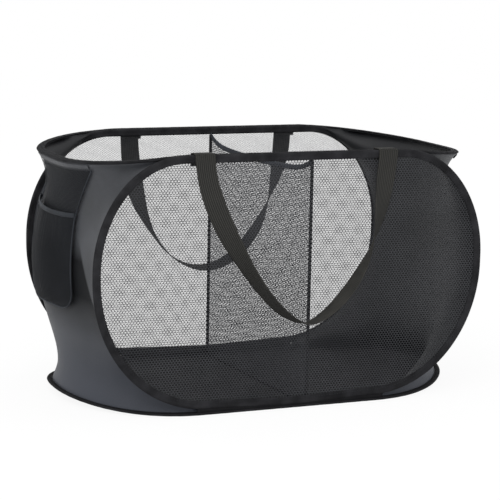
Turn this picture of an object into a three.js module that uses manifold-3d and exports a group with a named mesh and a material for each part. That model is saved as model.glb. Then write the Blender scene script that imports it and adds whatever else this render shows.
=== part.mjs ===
// Pop up laundry hamper with two compartments, in millimetres, +Z up.
// Length runs along X and depth along Y, with the front at -Y.
// Four closed wire loops in sewn bindings carry it: a front panel, a back panel, an open rim and a base.
// The origin lies on the floor, under the middle of the hamper.
import * as THREE from 'three';
import Module from 'manifold-3d';

// Gaps between neighbours: sewn pieces, pieces that pass each other, and a panel above the base
const gap = { sewn: 0.4, pass: 0.3, sidePass: 0.6, seat: 0.8 };

// Binding: a folded tape with the wire in its nose and a slit that takes the edge of a sheet
const tape = { width: 12, thickness: 4.6, wall: 0.5, slit: 1.8, throat: 4, noseBevel: 1.2, noseWall: 1.3 };
const wire = { radius: 0.8, offset: 3, sides: 6, buttGap: 0.6 };
const ferrule = { bore: 1.15, outer: 1.5, length: 12, sides: 12 };

// Front and back panels: both loops have this outline along the middle of the binding
const panel = {
  spacing: 355,
  halfWidth: 304,
  height: 365,
  headCornerAcross: 131,
  headCornerUpShare: 0.4432,
  footCornerAcross: 170,
  footCornerUpShare: 0.5263,
  crown: 4,
};

// Base loop: flat under the panels, with its two ends lifted a little
const base = { halfLength: 312, cornerAcross: 175, cornerDeepShare: 0.9666, endLift: 12, liftPower: 3 };

// Rim loop around the open top, with its two ends drooping under the pull of the end panels
const rim = { cornerAcross: 113, cornerDeepShare: 0.7887, endDroop: 15, droopReach: 156, droopPower: 1.25 };

// Sheets held in the bindings
const mesh = { thickness: 0.8, tuck: 5 };

// Plain grid of openings that stands for the holes of the mesh
const meshGrid = { columns: 12, rows: 7, dividerColumns: 7, openShare: 0.78, margin: 3, cutterFactor: 3 };
const floorSheet = { thickness: 1, tuck: 5 };

// End panels: the edge is sewn beside the bindings, this far off their middle line
const endSheet = {
  thickness: 1,
  panelInset: 4.5,
  rimOutset: 3,
  baseInset: 3,
  fullness: 43,
  fullPower: 0.8,
  lowPower: 1.3,
  rearPower: 1.4,
  rows: 20,
  columns: 16,
  passes: 500,
  easeSteps: 2,
};
const endHem = { height: 8, thickness: 1.5, drop: 0.6, reachShare: 0.665, rows: 4, ease: 0.15 };

// Divider across the middle, with a bound top edge that sags
const divider = {
  thickness: 0.8,
  sag: 20,
  headDrop: 13,
  footRise: 0.6,
  steepShare: 0.7,
  steepPower: 8,
  steps: 14,
  frontShift: 24,
};
const dividerHem = { width: 8, thickness: 3.2, wall: 0.6, tuck: 4, endGap: 0.8 };
const seamTape = { width: 8, panelThickness: 1.4, floorThickness: 0.8, endGap: 0.6 };

// Carrying handles of flat webbing. A larger power makes a rounder bow, sway moves the bow to the
// right, and the turns are how far each half twists, in degrees.
const webbing = { width: 30, thickness: 1.4 };
const frontHandle = { halfSpan: 145, drop: 251, bowPower: 1.6, sway: 12, leftTurn: 69, rightTurn: 98 };
const backHandle = { halfSpan: 134, drop: 232, bowPower: 2, sway: 0, leftTurn: 95, rightTurn: 103 };
const handle = {
  bottomStandOff: 4,
  straightShare: 0.08,
  twistShare: 0.82,
  tabHeight: 12,
  endStandOff: 13.8,
  steps: 60,
};

// Pocket hung on the left end, in shares of the end panel's height and of its length round the end
const pocket = {
  headFrontShare: 0.22,
  frontShare: 0.31,
  leanDown: 0.24,
  leanPower: 1.2,
  backShare: 0.79,
  headShare: 0.03,
  mouthShare: 0.25,
  footShare: 0.615,
  rows: 10,
  columns: 8,
  thickness: 0.8,
  standOff: 1.2,
  swing: 3,
  edgeRise: 1.25,
  bulge: 4.5,
};
const pocketHem = { width: 7, thickness: 2.6, wall: 0.5, tuck: 3 };
const piping = { radius: 1.2, sides: 6, outset: 2.1 };

// Steps of the loops
const steps = { head: 2, foot: 6, run: 8, corner: 9, arc: 24 };

const colours = {
  binding: 0x3d3d3e,
  meshCloth: 0x4a4b4d,
  endCloth: 0x62666d,
  floorCloth: 0x4b4c4e,
  webbingCloth: 0x454542,
  steel: 0x8d9094,
  hemCloth: 0x85868c,
};
const roughness = { cloth: 0.85, smoothCloth: 0.55, steel: 0.35 };

function clothFinish(color, rough) {
  return () => new THREE.MeshStandardMaterial({ color, roughness: rough, metalness: 0 });
}

function metalFinish(color, rough) {
  return () => new THREE.MeshStandardMaterial({ color, roughness: rough, metalness: 1 });
}

const finishes = {
  binding: clothFinish(colours.binding, roughness.cloth),
  meshCloth: clothFinish(colours.meshCloth, roughness.cloth),
  endCloth: clothFinish(colours.endCloth, roughness.smoothCloth),
  floorCloth: clothFinish(colours.floorCloth, roughness.cloth),
  webbingCloth: clothFinish(colours.webbingCloth, roughness.cloth),
  hemCloth: clothFinish(colours.hemCloth, roughness.smoothCloth),
  steel: metalFinish(colours.steel, roughness.steel),
};

const hamper = new THREE.Group();

function addMesh(name, geometry, newFinish) {
  const piece = new THREE.Mesh(geometry, newFinish());
  piece.name = name;
  hamper.add(piece);
  return piece;
}

// Sizes that several pieces share
const halfTape = tape.width / 2;
const halfThick = tape.thickness / 2;
const frontPlane = -panel.spacing / 2;
const backPlane = panel.spacing / 2;
const frontInner = frontPlane + halfThick;
const frontOuter = frontPlane - halfThick;
const backOuter = backPlane + halfThick;
const panelFoot = tape.thickness + gap.seat;
const panelHead = panelFoot + tape.width + panel.height;
const sheetDepth = backPlane - halfThick - gap.sewn - endSheet.thickness / 2;

// Outlines: corners are quarter ellipses, and the lower run may bow outwards
const panelLow = panelFoot + halfTape + panel.crown;
const panelTall = panelHead - halfTape - panelLow;
const panelShape = {
  half: panel.halfWidth,
  low: panelLow,
  high: panelLow + panelTall,
  headAcross: panel.headCornerAcross,
  headUp: panel.headCornerUpShare * panelTall,
  footAcross: panel.footCornerAcross,
  footUp: panel.footCornerUpShare * panelTall,
  crown: panel.crown,
};
const baseHalfDepth = backOuter - halfTape;
const baseShape = {
  half: base.halfLength,
  low: -baseHalfDepth,
  high: baseHalfDepth,
  headAcross: base.cornerAcross,
  headUp: base.cornerDeepShare * baseHalfDepth,
  footAcross: base.cornerAcross,
  footUp: base.cornerDeepShare * baseHalfDepth,
  crown: 0,
};
const rimLow = frontInner + gap.pass + halfTape;
const rimHigh = backOuter + gap.pass + halfTape;
const rimHalfDepth = (rimHigh - rimLow) / 2;
const rimShape = {
  half: panel.halfWidth + tape.width + gap.sidePass,
  low: rimLow,
  high: rimHigh,
  headAcross: rim.cornerAcross,
  headUp: rim.cornerDeepShare * rimHalfDepth,
  footAcross: rim.cornerAcross,
  footUp: rim.cornerDeepShare * rimHalfDepth,
  crown: 0,
};
const rimMiddle = (rimLow + rimHigh) / 2;

function baseRise(x) {
  const run = base.halfLength - base.cornerAcross;
  const share = Math.max(0, Math.abs(x) - run) / base.cornerAcross;
  return base.endLift * share ** base.liftPower;
}

function rimSink(x) {
  const share = Math.max(0, Math.abs(x) - rimShape.half + rim.droopReach) / rim.droopReach;
  return rim.endDroop * share ** rim.droopPower;
}

// Places: where a point of a flat outline lies in space, with a third number through the sheet
const rimMidHeight = panelHead - halfThick;
const places = {
  front: (a, b, v) => new THREE.Vector3(a, frontPlane + v, b),
  back: (a, b, v) => new THREE.Vector3(a, backPlane + v, b),
  base: (a, b, v) => new THREE.Vector3(a, b, halfThick + baseRise(a) + v),
  rim: (a, b, v) => new THREE.Vector3(a, b, rimMidHeight - rimSink(a) + v),
};

// Volume inside a triangle mesh, negative when its faces point inwards
function signedVolume(positions, triangles) {
  const cross = new THREE.Vector3();
  let sum = 0;
  for (let k = 0; k < triangles.length; k += 3) {
    const [a, b, c] = triangles.slice(k, k + 3).map((index) => positions[index]);
    sum += a.dot(cross.crossVectors(b, c));
  }
  return sum;
}

function solidFrom(positions, triangles) {
  const inward = signedVolume(positions, triangles) < 0;
  const order = [];
  for (let k = 0; k < triangles.length; k += 3) {
    const [p, q, r] = triangles.slice(k, k + 3);
    order.push(p, inward ? r : q, inward ? q : r);
  }
  const geometry = new THREE.BufferGeometry().setFromPoints(positions);
  geometry.setIndex(order);
  geometry.computeVertexNormals();
  return geometry;
}

// Joins sections, each an array of points of the same length. Facing sides of the profile are split
// along matching diagonals, so that a strip keeps its thickness where it twists.
function joinSections(sections, closed) {
  const count = sections[0].length;
  const triangles = [];
  const joins = closed ? sections.length : sections.length - 1;
  for (let i = 0; i < joins; i += 1) {
    const from = i * count;
    const to = ((i + 1) % sections.length) * count;
    for (let k = 0; k < count; k += 1) {
      const next = (k + 1) % count;
      const [a, b, c, d] = [from + k, to + k, to + next, from + next];
      if (k < count / 2) triangles.push(a, b, c, a, c, d);
      else triangles.push(a, b, d, b, c, d);
    }
  }
  return triangles;
}

function ringSolid(sections) {
  return solidFrom(sections.flat(), joinSections(sections, true));
}

// An open sweep is capped at both ends. The profile is the flat shape of its sections.
function barSolid(sections, profile) {
  const triangles = joinSections(sections, false);
  const flat = profile.map(([u, v]) => new THREE.Vector2(u, v));
  const turned = THREE.ShapeUtils.area(flat) < 0;
  const end = (sections.length - 1) * profile.length;
  for (const [p, s, t] of THREE.ShapeUtils.triangulateShape(flat, [])) {
    const [q, r] = turned ? [t, s] : [s, t];
    triangles.push(p, q, r, end + p, end + r, end + q);
  }
  return solidFrom(sections.flat(), triangles);
}

// Closes two matching grids of points, one for each face of a sheet, into a solid
function doubleGridSolid(upper, lower) {
  const rows = upper.length;
  const columns = upper[0].length;
  const under = rows * columns;
  const at = (i, j) => i * columns + j;
  const triangles = [];
  for (let i = 0; i + 1 < rows; i += 1) {
    for (let j = 0; j + 1 < columns; j += 1) {
      const [a, b, c, d] = [at(i, j), at(i, j + 1), at(i + 1, j + 1), at(i + 1, j)];
      triangles.push(a, b, c, a, c, d);
      triangles.push(under + a, under + c, under + b, under + a, under + d, under + c);
    }
  }
  const border = [];
  for (let j = 0; j < columns; j += 1) border.push(at(0, j));
  for (let i = 1; i < rows; i += 1) border.push(at(i, columns - 1));
  for (let j = columns - 2; j >= 0; j -= 1) border.push(at(rows - 1, j));
  for (let i = rows - 2; i > 0; i -= 1) border.push(at(i, 0));
  for (let k = 0; k < border.length; k += 1) {
    const [p, q] = [border[k], border[(k + 1) % border.length]];
    triangles.push(p, under + p, under + q, p, under + q, q);
  }
  return solidFrom([...upper.flat(), ...lower.flat()], triangles);
}

// Direction square to a grid of points
function gridNormal(grid, i, j) {
  const rows = grid.length;
  const columns = grid[0].length;
  const down = grid[Math.min(i + 1, rows - 1)][j].clone().sub(grid[Math.max(i - 1, 0)][j]);
  const over = grid[i][Math.min(j + 1, columns - 1)].clone().sub(grid[i][Math.max(j - 1, 0)]);
  return down.cross(over).normalize();
}

function offsetGrid(grid, distance) {
  return grid.map((row, i) =>
    row.map((point, j) => point.clone().addScaledVector(gridNormal(grid, i, j), distance)),
  );
}

function sheetSolid(grid, thickness) {
  return doubleGridSolid(offsetGrid(grid, thickness / 2), offsetGrid(grid, -thickness / 2));
}

// Right side of a loop as [across, up] points, from the end of the upper run down to the lower run
function sideArc({ half, low, high, headAcross, headUp, footAcross, footUp }, cornerSteps) {
  const points = [];
  for (let k = 0; k <= cornerSteps; k += 1) {
    const turn = (Math.PI / 2) * (k / cornerSteps);
    points.push([half - headAcross + headAcross * Math.sin(turn), high - headUp + headUp * Math.cos(turn)]);
  }
  for (let k = 0; k <= cornerSteps; k += 1) {
    const turn = (Math.PI / 2) * (k / cornerSteps);
    points.push([half - footAcross + footAcross * Math.cos(turn), low + footUp - footUp * Math.sin(turn)]);
  }
  return points;
}

// Inner points of a straight or bowed run, from right to left
function runPoints(half, level, bow, count) {
  const points = [];
  for (let k = 1; k < count; k += 1) {
    const share = 1 - (2 * k) / count;
    points.push([half * share, level - bow * (1 - share ** 2) ** 2]);
  }
  return points;
}

// Whole outline, clockwise from the middle of the upper run
function loopOutline(shape) {
  const right = sideArc(shape, steps.corner);
  const left = right.map(([a, b]) => [-a, b]).reverse();
  const [headSteps, footSteps] = shape.crown > 0 ? [steps.head, steps.foot] : [steps.run, steps.run];
  const head = runPoints(shape.half - shape.headAcross, shape.high, 0, headSteps).reverse();
  const foot = runPoints(shape.half - shape.footAcross, shape.low, shape.crown, footSteps);
  const middle = headSteps / 2 - 1;
  return [...head.slice(middle), ...right, ...foot, ...left, ...head.slice(0, middle)];
}

// Stations: each point of the outline with the direction that points out of the loop
function stationsOf(outline) {
  const count = outline.length;
  return outline.map(([a, b], k) => {
    const before = outline[(k + count - 1) % count];
    const after = outline[(k + 1) % count];
    const out = new THREE.Vector2(before[1] - after[1], after[0] - before[0]).normalize();
    return { a, b, out };
  });
}

function sectionAt(station, profile, place) {
  return profile.map(([u, v]) => place(station.a + station.out.x * u, station.b + station.out.y * u, v));
}

// Profile of a folded tape: the nose lies at +u and the slit at -u
function foldedTape({ width, thickness, wall, slit, throat, noseBevel, noseWall }) {
  const tip = width / 2;
  const face = thickness / 2;
  const lip = slit / 2;
  return [
    [-tip, -lip - wall],
    [throat - tip, -face],
    [tip - noseBevel, -face],
    [tip, noseBevel - face],
    [tip, face - noseBevel],
    [tip - noseBevel, face],
    [throat - tip, face],
    [-tip, lip + wall],
    [-tip, lip],
    [throat - tip, face - wall],
    [tip - noseWall, face - wall],
    [tip - noseWall, wall - face],
    [throat - tip, wall - face],
    [-tip, -lip],
  ];
}

function roundProfile(radius, sides, centre) {
  const profile = [];
  for (let k = 0; k < sides; k += 1) {
    const turn = (2 * Math.PI * k) / sides;
    profile.push([centre + radius * Math.cos(turn), radius * Math.sin(turn)]);
  }
  return profile;
}

// The four loops
const shapes = { front: panelShape, back: panelShape, base: baseShape, rim: rimShape };
const tapeProfile = foldedTape(tape);
const wireProfile = roundProfile(wire.radius, wire.sides, wire.offset);
const ferruleProfile = [
  [ferrule.bore, -ferrule.length / 2],
  [ferrule.outer, -ferrule.length / 2],
  [ferrule.outer, ferrule.length / 2],
  [ferrule.bore, ferrule.length / 2],
  [ferrule.bore, -ferrule.length / 2],
];

for (const [name, shape] of Object.entries(shapes)) {
  const place = places[name];
  const stations = stationsOf(loopOutline(shape));
  const tapeSections = stations.map((station) => sectionAt(station, tapeProfile, place));
  addMesh(`${name}_binding`, ringSolid(tapeSections), finishes.binding);

  // The wire is one open ring. Its two ends meet inside the ferrule.
  const start = { ...stations[0], a: wire.buttGap / 2 };
  const end = { ...stations[0], a: -wire.buttGap / 2 };
  const wireStations = [start, ...stations.slice(1), end];
  const wireSections = wireStations.map((station) => sectionAt(station, wireProfile, place));
  addMesh(`${name}_wire`, barSolid(wireSections, wireProfile), finishes.steel);

  const sleevePoints = ferruleProfile.map(([r, h]) => new THREE.Vector2(r, h));
  const sleeve = new THREE.LatheGeometry(sleevePoints, ferrule.sides);
  const piece = addMesh(`${name}_ferrule`, sleeve, finishes.steel);
  piece.rotation.z = Math.PI / 2;
  piece.position.copy(place(0, shape.high + wire.offset, 0));
}

// Mesh sheets of the front and back panels, with their edges tucked into the bindings
function tuckedOutline(shape, tuck) {
  const inset = tape.width / 2 - tuck;
  return stationsOf(loopOutline(shape)).map(({ a, b, out }) => [a - out.x * inset, b - out.y * inset]);
}

function flatSolid(outline, place, thickness) {
  const flat = outline.map(([a, b]) => new THREE.Vector2(a, b));
  const count = outline.length;
  const faces = THREE.ShapeUtils.triangulateShape(flat, []);
  const positions = [thickness / 2, -thickness / 2].flatMap((v) => outline.map(([a, b]) => place(a, b, v)));
  const forward = THREE.ShapeUtils.area(flat) > 0;
  const triangles = faces.flatMap(([p, s, t]) => {
    const [q, r] = forward ? [s, t] : [t, s];
    return [p, q, r, count + p, count + r, count + q];
  });
  for (let k = 0; k < count; k += 1) {
    const next = (k + 1) % count;
    triangles.push(k, count + k, count + next, k, count + next, next);
  }
  return solidFrom(positions, triangles);
}

// Cuts openings through a flat sheet
const wasm = await Module();
wasm.setup();

function toManifold(geometry) {
  const vertProperties = new Float32Array(geometry.attributes.position.array);
  const triVerts = new Uint32Array(geometry.index.array);
  return new wasm.Manifold(new wasm.Mesh({ numProp: 3, vertProperties, triVerts }));
}

function openSheet(outline, place, thickness, openings) {
  const depth = meshGrid.cutterFactor * thickness;
  const cutters = openings.map((opening) => toManifold(flatSolid(opening, place, depth)));
  const sheet = toManifold(flatSolid(outline, place, thickness));
  const { vertProperties, triVerts } = sheet.subtract(wasm.Manifold.union(cutters)).getMesh();
  const positions = [];
  for (let k = 0; k < vertProperties.length; k += 3) {
    positions.push(new THREE.Vector3(...vertProperties.subarray(k, k + 3)));
  }
  return solidFrom(positions, [...triVerts]);
}

function liesInside(outline, [a, b]) {
  let within = false;
  outline.forEach(([p, q], k) => {
    const [r, s] = outline[(k + 1) % outline.length];
    if (q > b !== s > b && a < ((r - p) * (b - q)) / (s - q) + p) within = !within;
  });
  return within;
}

// Openings in rows and columns over an outline, where they clear its tucked edge
function gridOpenings(outline, columns, rows) {
  const [across, up] = [0, 1].map((axis) => outline.map((point) => point[axis]));
  const [left, foot] = [Math.min(...across), Math.min(...up)];
  const [wide, tall] = [(Math.max(...across) - left) / columns, (Math.max(...up) - foot) / rows];
  const openings = [];
  for (let i = 0; i < columns; i += 1) {
    for (let j = 0; j < rows; j += 1) {
      const [a, b] = [left + (i + 1 / 2) * wide, foot + (j + 1 / 2) * tall];
      const [halfWide, halfTall] = [(wide * meshGrid.openShare) / 2, (tall * meshGrid.openShare) / 2];
      const cell = (extra) => {
        const [farWide, farTall] = [halfWide + extra, halfTall + extra];
        return [[-1, -1], [1, -1], [1, 1], [-1, 1]].map(([p, q]) => [a + p * farWide, b + q * farTall]);
      };
      const clear = cell(mesh.tuck + meshGrid.margin).every((corner) => liesInside(outline, corner));
      if (clear) openings.push(cell(0));
    }
  }
  return openings;
}

const meshOutline = tuckedOutline(panelShape, mesh.tuck);
const meshOpenings = gridOpenings(meshOutline, meshGrid.columns, meshGrid.rows);
addMesh('front_mesh', openSheet(meshOutline, places.front, mesh.thickness, meshOpenings), finishes.meshCloth);
addMesh('back_mesh', openSheet(meshOutline, places.back, mesh.thickness, meshOpenings), finishes.meshCloth);

// Floor sheet: strips from front to back that follow the lift of the base loop
const floorEdge = tuckedOutline(baseShape, floorSheet.tuck)
  .filter(([, b]) => b > 0)
  .sort((p, q) => p[0] - q[0]);
const floorFace = (side) => [1, -1].map((sign) => floorEdge.map(([a, b]) => places.base(a, sign * b, side)));
const floorSolid = doubleGridSolid(floorFace(floorSheet.thickness / 2), floorFace(-floorSheet.thickness / 2));
addMesh('floor_panel', floorSolid, finishes.floorCloth);

// Spreads a number of equal steps along a line of points
function resample(points, count) {
  const lengths = [0];
  for (let k = 1; k < points.length; k += 1) {
    lengths.push(lengths[k - 1] + points[k].distanceTo(points[k - 1]));
  }
  const total = lengths[lengths.length - 1];
  const result = [];
  let k = 1;
  for (let i = 0; i <= count; i += 1) {
    const target = (total * i) / count;
    while (k < points.length - 1 && lengths[k] < target) k += 1;
    const share = (target - lengths[k - 1]) / (lengths[k] - lengths[k - 1]);
    result.push(points[k - 1].clone().lerp(points[k], share));
  }
  return result;
}

function grown(shape, offset) {
  const larger = { ...shape, low: shape.low - offset };
  for (const key of ['half', 'high', 'headAcross', 'headUp', 'footAcross', 'footUp']) {
    larger[key] = shape[key] + offset;
  }
  return larger;
}

// Edge of an end panel along the rim or base, from front to back, kept between the two panels
function ringEdge(shape, outset, height, side, count) {
  const points = sideArc(grown(shape, outset), steps.arc).map(([a, b]) => {
    const depth = THREE.MathUtils.clamp(b, -sheetDepth, sheetDepth);
    return new THREE.Vector3(side * a, depth, height(a));
  });
  return resample(points.reverse(), count);
}

// Edge of an end panel along the front or back panel, from the rim down
function panelEdge(depth, side, count) {
  const outline = sideArc(grown(panelShape, -endSheet.panelInset), steps.arc);
  return resample(outline.map(([a, b]) => new THREE.Vector3(side * a, depth, b)), count);
}

// Bends the ends of an edge so that it starts and stops in the corners of the sheet
function easeEnds(edge, first, last) {
  const moves = [first.clone().sub(edge[0]), last.clone().sub(edge[edge.length - 1])];
  return edge.map((point, k) => {
    const shares = [k, edge.length - 1 - k].map((away) => Math.max(0, 1 - away / endSheet.easeSteps));
    return point.clone().addScaledVector(moves[0], shares[0]).addScaledVector(moves[1], shares[1]);
  });
}

// Lets the inner points of a grid settle between their neighbours, as a stretched sheet does
function relax(grid) {
  const rows = grid.length - 1;
  const columns = grid[0].length - 1;
  for (let pass = 0; pass < endSheet.passes; pass += 1) {
    for (let i = 1; i < rows; i += 1) {
      for (let j = 1; j < columns; j += 1) {
        const around = [grid[i - 1][j], grid[i + 1][j], grid[i][j - 1], grid[i][j + 1]];
        grid[i][j].set(0, 0, 0);
        for (const neighbour of around) grid[i][j].addScaledVector(neighbour, 1 / around.length);
      }
    }
  }
  return grid;
}

// End panel: a sheet stretched between the four loops, fuller low down and at the rear
function endGrid(side) {
  const { rows, columns, thickness } = endSheet;
  const off = halfThick + gap.sewn + thickness / 2;
  const rimUnder = (a) => rimMidHeight - rimSink(a) - off;
  const baseOver = (a) => halfThick + baseRise(a) + off;
  const top = ringEdge(rimShape, endSheet.rimOutset, rimUnder, side, columns);
  const foot = ringEdge(baseShape, -endSheet.baseInset, baseOver, side, columns);
  const front = easeEnds(panelEdge(-sheetDepth, side, rows), top[0], foot[0]);
  const back = easeEnds(panelEdge(sheetDepth, side, rows), top[columns], foot[columns]);
  const grid = front.map((point, i) => top.map((unused, j) => point.clone().lerp(back[i], j / columns)));
  grid[0] = top;
  grid[rows] = foot;
  return relax(grid).map((row, i) =>
    row.map((point, j) => {
      const [down, along] = [(i / rows) ** endSheet.lowPower, (j / columns) ** endSheet.rearPower];
      const share = Math.sin(Math.PI * down) ** endSheet.fullPower * Math.sin(Math.PI * along);
      return point.clone().setX(point.x + side * endSheet.fullness * share);
    }),
  );
}

// A point on an end panel at shares of its height and of its length round the end, with its outward normal
function onEnd(grid, side, down, along) {
  const i = THREE.MathUtils.clamp(Math.floor(down * endSheet.rows), 0, endSheet.rows - 1);
  const j = THREE.MathUtils.clamp(Math.floor(along * endSheet.columns), 0, endSheet.columns - 1);
  const [p, q] = [down * endSheet.rows - i, along * endSheet.columns - j];
  const mix = (value) => {
    const upper = value(i, j).clone().lerp(value(i, j + 1), q);
    return upper.lerp(value(i + 1, j).clone().lerp(value(i + 1, j + 1), q), p);
  };
  const point = mix((row, column) => grid[row][column]);
  const normal = mix((row, column) => gridNormal(grid, row, column)).normalize();
  return { point, normal: normal.multiplyScalar(Math.sign(normal.x) === side ? 1 : -1) };
}

const endGrids = {};
for (const [name, side] of [['left', -1], ['right', 1]]) {
  const grid = endGrid(side);
  endGrids[name] = grid;
  addMesh(`${name}_end_panel`, sheetSolid(grid, endSheet.thickness), finishes.endCloth);

  // Hem under the rim, over the part of the end that hangs straight down
  const reach = (endHem.reachShare * (rimShape.high - rimShape.low)) / 2;
  const columns = grid[0].map((point, j) => j).filter((j) => Math.abs(grid[0][j].y - rimMiddle) < reach);
  const outward = endSheet.thickness / 2 + gap.sewn + endHem.ease + endHem.thickness / 2;
  const shares = Array.from({ length: endHem.rows + 1 }, (unused, k) => k / endHem.rows);
  const drops = shares.map((share) => endHem.drop + endHem.height * share);
  const hem = drops.map((drop) =>
    columns.map((j) => {
      const down = drop / grid[0][j].distanceTo(grid[1][j]) / endSheet.rows;
      const { point, normal } = onEnd(grid, side, down, j / endSheet.columns);
      return point.addScaledVector(normal, outward);
    }),
  );
  addMesh(`${name}_top_hem`, sheetSolid(hem, endHem.thickness), finishes.hemCloth);
}

// Divider: a mesh sheet from the front panel to the back panel
const hemMiddle = panelHead - divider.headDrop;
const dividerFoot = tape.thickness + gap.sewn + divider.footRise;
const dividerHalf = backPlane - halfThick - gap.sewn;

function hemSag(share) {
  const { sag, steepShare, steepPower } = divider;
  return sag * (steepShare * (1 - Math.abs(share) ** steepPower) + (1 - steepShare) * (1 - share ** 2));
}

function dividerLine(half) {
  const points = [];
  for (let k = 0; k <= divider.steps; k += 1) {
    const share = -Math.cos((Math.PI * k) / divider.steps);
    points.push([share * half, hemMiddle - hemSag(share)]);
  }
  return points;
}

// The divider slants to the right towards the front
const dividerShift = (a) => (divider.frontShift * (dividerHalf - a)) / (2 * dividerHalf);
const acrossPlace = (a, b, v) => new THREE.Vector3(v + dividerShift(a), a, b);
const dividerTop = dividerLine(dividerHalf).map(([a, b]) => [a, b - dividerHem.width / 2 + dividerHem.tuck]);
const dividerOutline = [[-dividerHalf, dividerFoot], [dividerHalf, dividerFoot], ...dividerTop.reverse()];
const dividerOpenings = gridOpenings(dividerOutline, meshGrid.dividerColumns, meshGrid.rows);
const dividerSheet = openSheet(dividerOutline, acrossPlace, divider.thickness, dividerOpenings);
addMesh('divider_mesh', dividerSheet, finishes.meshCloth);

// Profile of a hem folded over the edge of a sheet, with the fold at +u
function foldedHem({ width, thickness, wall, tuck }, sheet) {
  const tip = width / 2;
  const face = thickness / 2;
  const slit = sheet / 2 + gap.sewn;
  const floor = tuck + gap.sewn - tip;
  return [
    [-tip, -slit - wall],
    [0, -face],
    [tip - face, -face],
    [tip, 0],
    [tip - face, face],
    [0, face],
    [-tip, slit + wall],
    [-tip, slit],
    [floor, slit],
    [floor, -slit],
    [-tip, -slit],
  ];
}

const dividerHemProfile = foldedHem(dividerHem, divider.thickness);
const dividerHemSections = dividerLine(dividerHalf - dividerHem.endGap).map(([a, b]) =>
  dividerHemProfile.map(([u, v]) => acrossPlace(a, b + u, v)),
);
addMesh('divider_top_hem', barSolid(dividerHemSections, dividerHemProfile), finishes.hemCloth);

// Tapes that sew the divider to the two panels and to the floor
function addBlock(name, [lowX, lowY, lowZ], [highX, highY, highZ], newFinish) {
  const low = new THREE.Vector3(lowX, lowY, lowZ);
  const high = new THREE.Vector3(highX, highY, highZ);
  const size = high.clone().sub(low);
  const piece = addMesh(name, new THREE.BoxGeometry(size.x, size.y, size.z), newFinish);
  piece.position.copy(low).add(high).divideScalar(2);
}

const seamFoot = panelFoot + tape.width + seamTape.endGap;
const seamHead = panelHead - tape.width - seamTape.endGap;
const seamFar = backPlane - mesh.thickness / 2 - gap.sewn;
const seamNear = seamFar - seamTape.panelThickness;
const seamHalf = seamTape.width / 2;
const floorTop = halfThick + floorSheet.thickness / 2 + gap.sewn;
const floorRun = baseHalfDepth - halfTape - seamTape.endGap;
const floorTapeTop = floorTop + seamTape.floorThickness;
for (const [name, depth, side] of [['front', seamFar, -1], ['back', seamNear, 1]]) {
  const middle = side < 0 ? divider.frontShift : 0;
  const start = side < 0 ? -depth : depth;
  const low = [middle - seamHalf, start, seamFoot];
  const high = [middle + seamHalf, start + seamTape.panelThickness, seamHead];
  addBlock(`divider_${name}_tape`, low, high, finishes.binding);
}
const floorTapeProfile = [
  [-seamHalf, floorTop],
  [seamHalf, floorTop],
  [seamHalf, floorTapeTop],
  [-seamHalf, floorTapeTop],
];
const floorTapeSections = [-floorRun, floorRun].map((a) =>
  floorTapeProfile.map(([u, height]) => new THREE.Vector3(dividerShift(a) + u, a, height)),
);
addMesh('divider_floor_tape', barSolid(floorTapeSections, floorTapeProfile), finishes.binding);

// Pocket: a flat back, a front that bags out, a bound mouth and a piped edge
const pocketGrid = endGrids.left;

function pocketPoint(down, along, rise) {
  const { point, normal } = onEnd(pocketGrid, -1, down, along);
  return point.addScaledVector(normal, rise);
}

function pocketSteps(from, to, count) {
  return Array.from({ length: count + 1 }, (unused, k) => from + ((to - from) * k) / count);
}

// The front edge starts nearer to the front panel at the rim and leans away from it
function pocketAlong(down, share) {
  const lean = Math.max(0, 1 - down / pocket.leanDown) ** pocket.leanPower;
  const front = pocket.frontShare + (pocket.headFrontShare - pocket.frontShare) * lean;
  return front + (pocket.backShare - front) * share;
}

const pocketAcross = pocketSteps(0, 1, pocket.columns);
const backStandOff = endSheet.thickness / 2 + pocket.standOff + pocket.thickness / 2;
const backRise = (down) => backStandOff + pocket.swing * down;
const pocketBack = pocketSteps(pocket.headShare, pocket.footShare, pocket.rows).map((down) =>
  pocketAcross.map((share) => pocketPoint(down, pocketAlong(down, share), backRise(down))),
);
addMesh('pocket_back_mesh', sheetSolid(pocketBack, pocket.thickness), finishes.meshCloth);

// How far the front of the pocket bags out, from 0 at its sides and foot to 1 in the middle
function bag(down, share) {
  const t = (down - pocket.mouthShare) / (pocket.footShare - pocket.mouthShare);
  return Math.sin(Math.PI * share) ** (1 / 2) * Math.cos((Math.PI / 2) * t ** 3);
}

const pocketRise = (down, share) =>
  backRise(down) + pocket.thickness + pocket.edgeRise + pocket.bulge * Math.max(0, bag(down, share));
const pocketFront = pocketSteps(pocket.mouthShare, pocket.footShare, pocket.rows).map((down) =>
  pocketAcross.map((share) => pocketPoint(down, pocketAlong(down, share), pocketRise(down, share))),
);
addMesh('pocket_front_mesh', sheetSolid(pocketFront, pocket.thickness), finishes.meshCloth);

const mouth = pocketFront[0].map((point, j) => {
  return { point, down: pocketFront[1][j].clone().sub(point).normalize() };
});
const pocketHemProfile = foldedHem(pocketHem, pocket.thickness);
const pocketHemSections = mouth.map(({ point, down }, j) => {
  const out = gridNormal(pocketFront, 0, j);
  const lift = pocketHem.width / 2 - pocketHem.tuck;
  const corner = ([u, v]) => point.clone().addScaledVector(down, -lift - u).addScaledVector(out, v);
  return pocketHemProfile.map(corner);
});
addMesh('pocket_mouth_hem', barSolid(pocketHemSections, pocketHemProfile), finishes.hemCloth);

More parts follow.
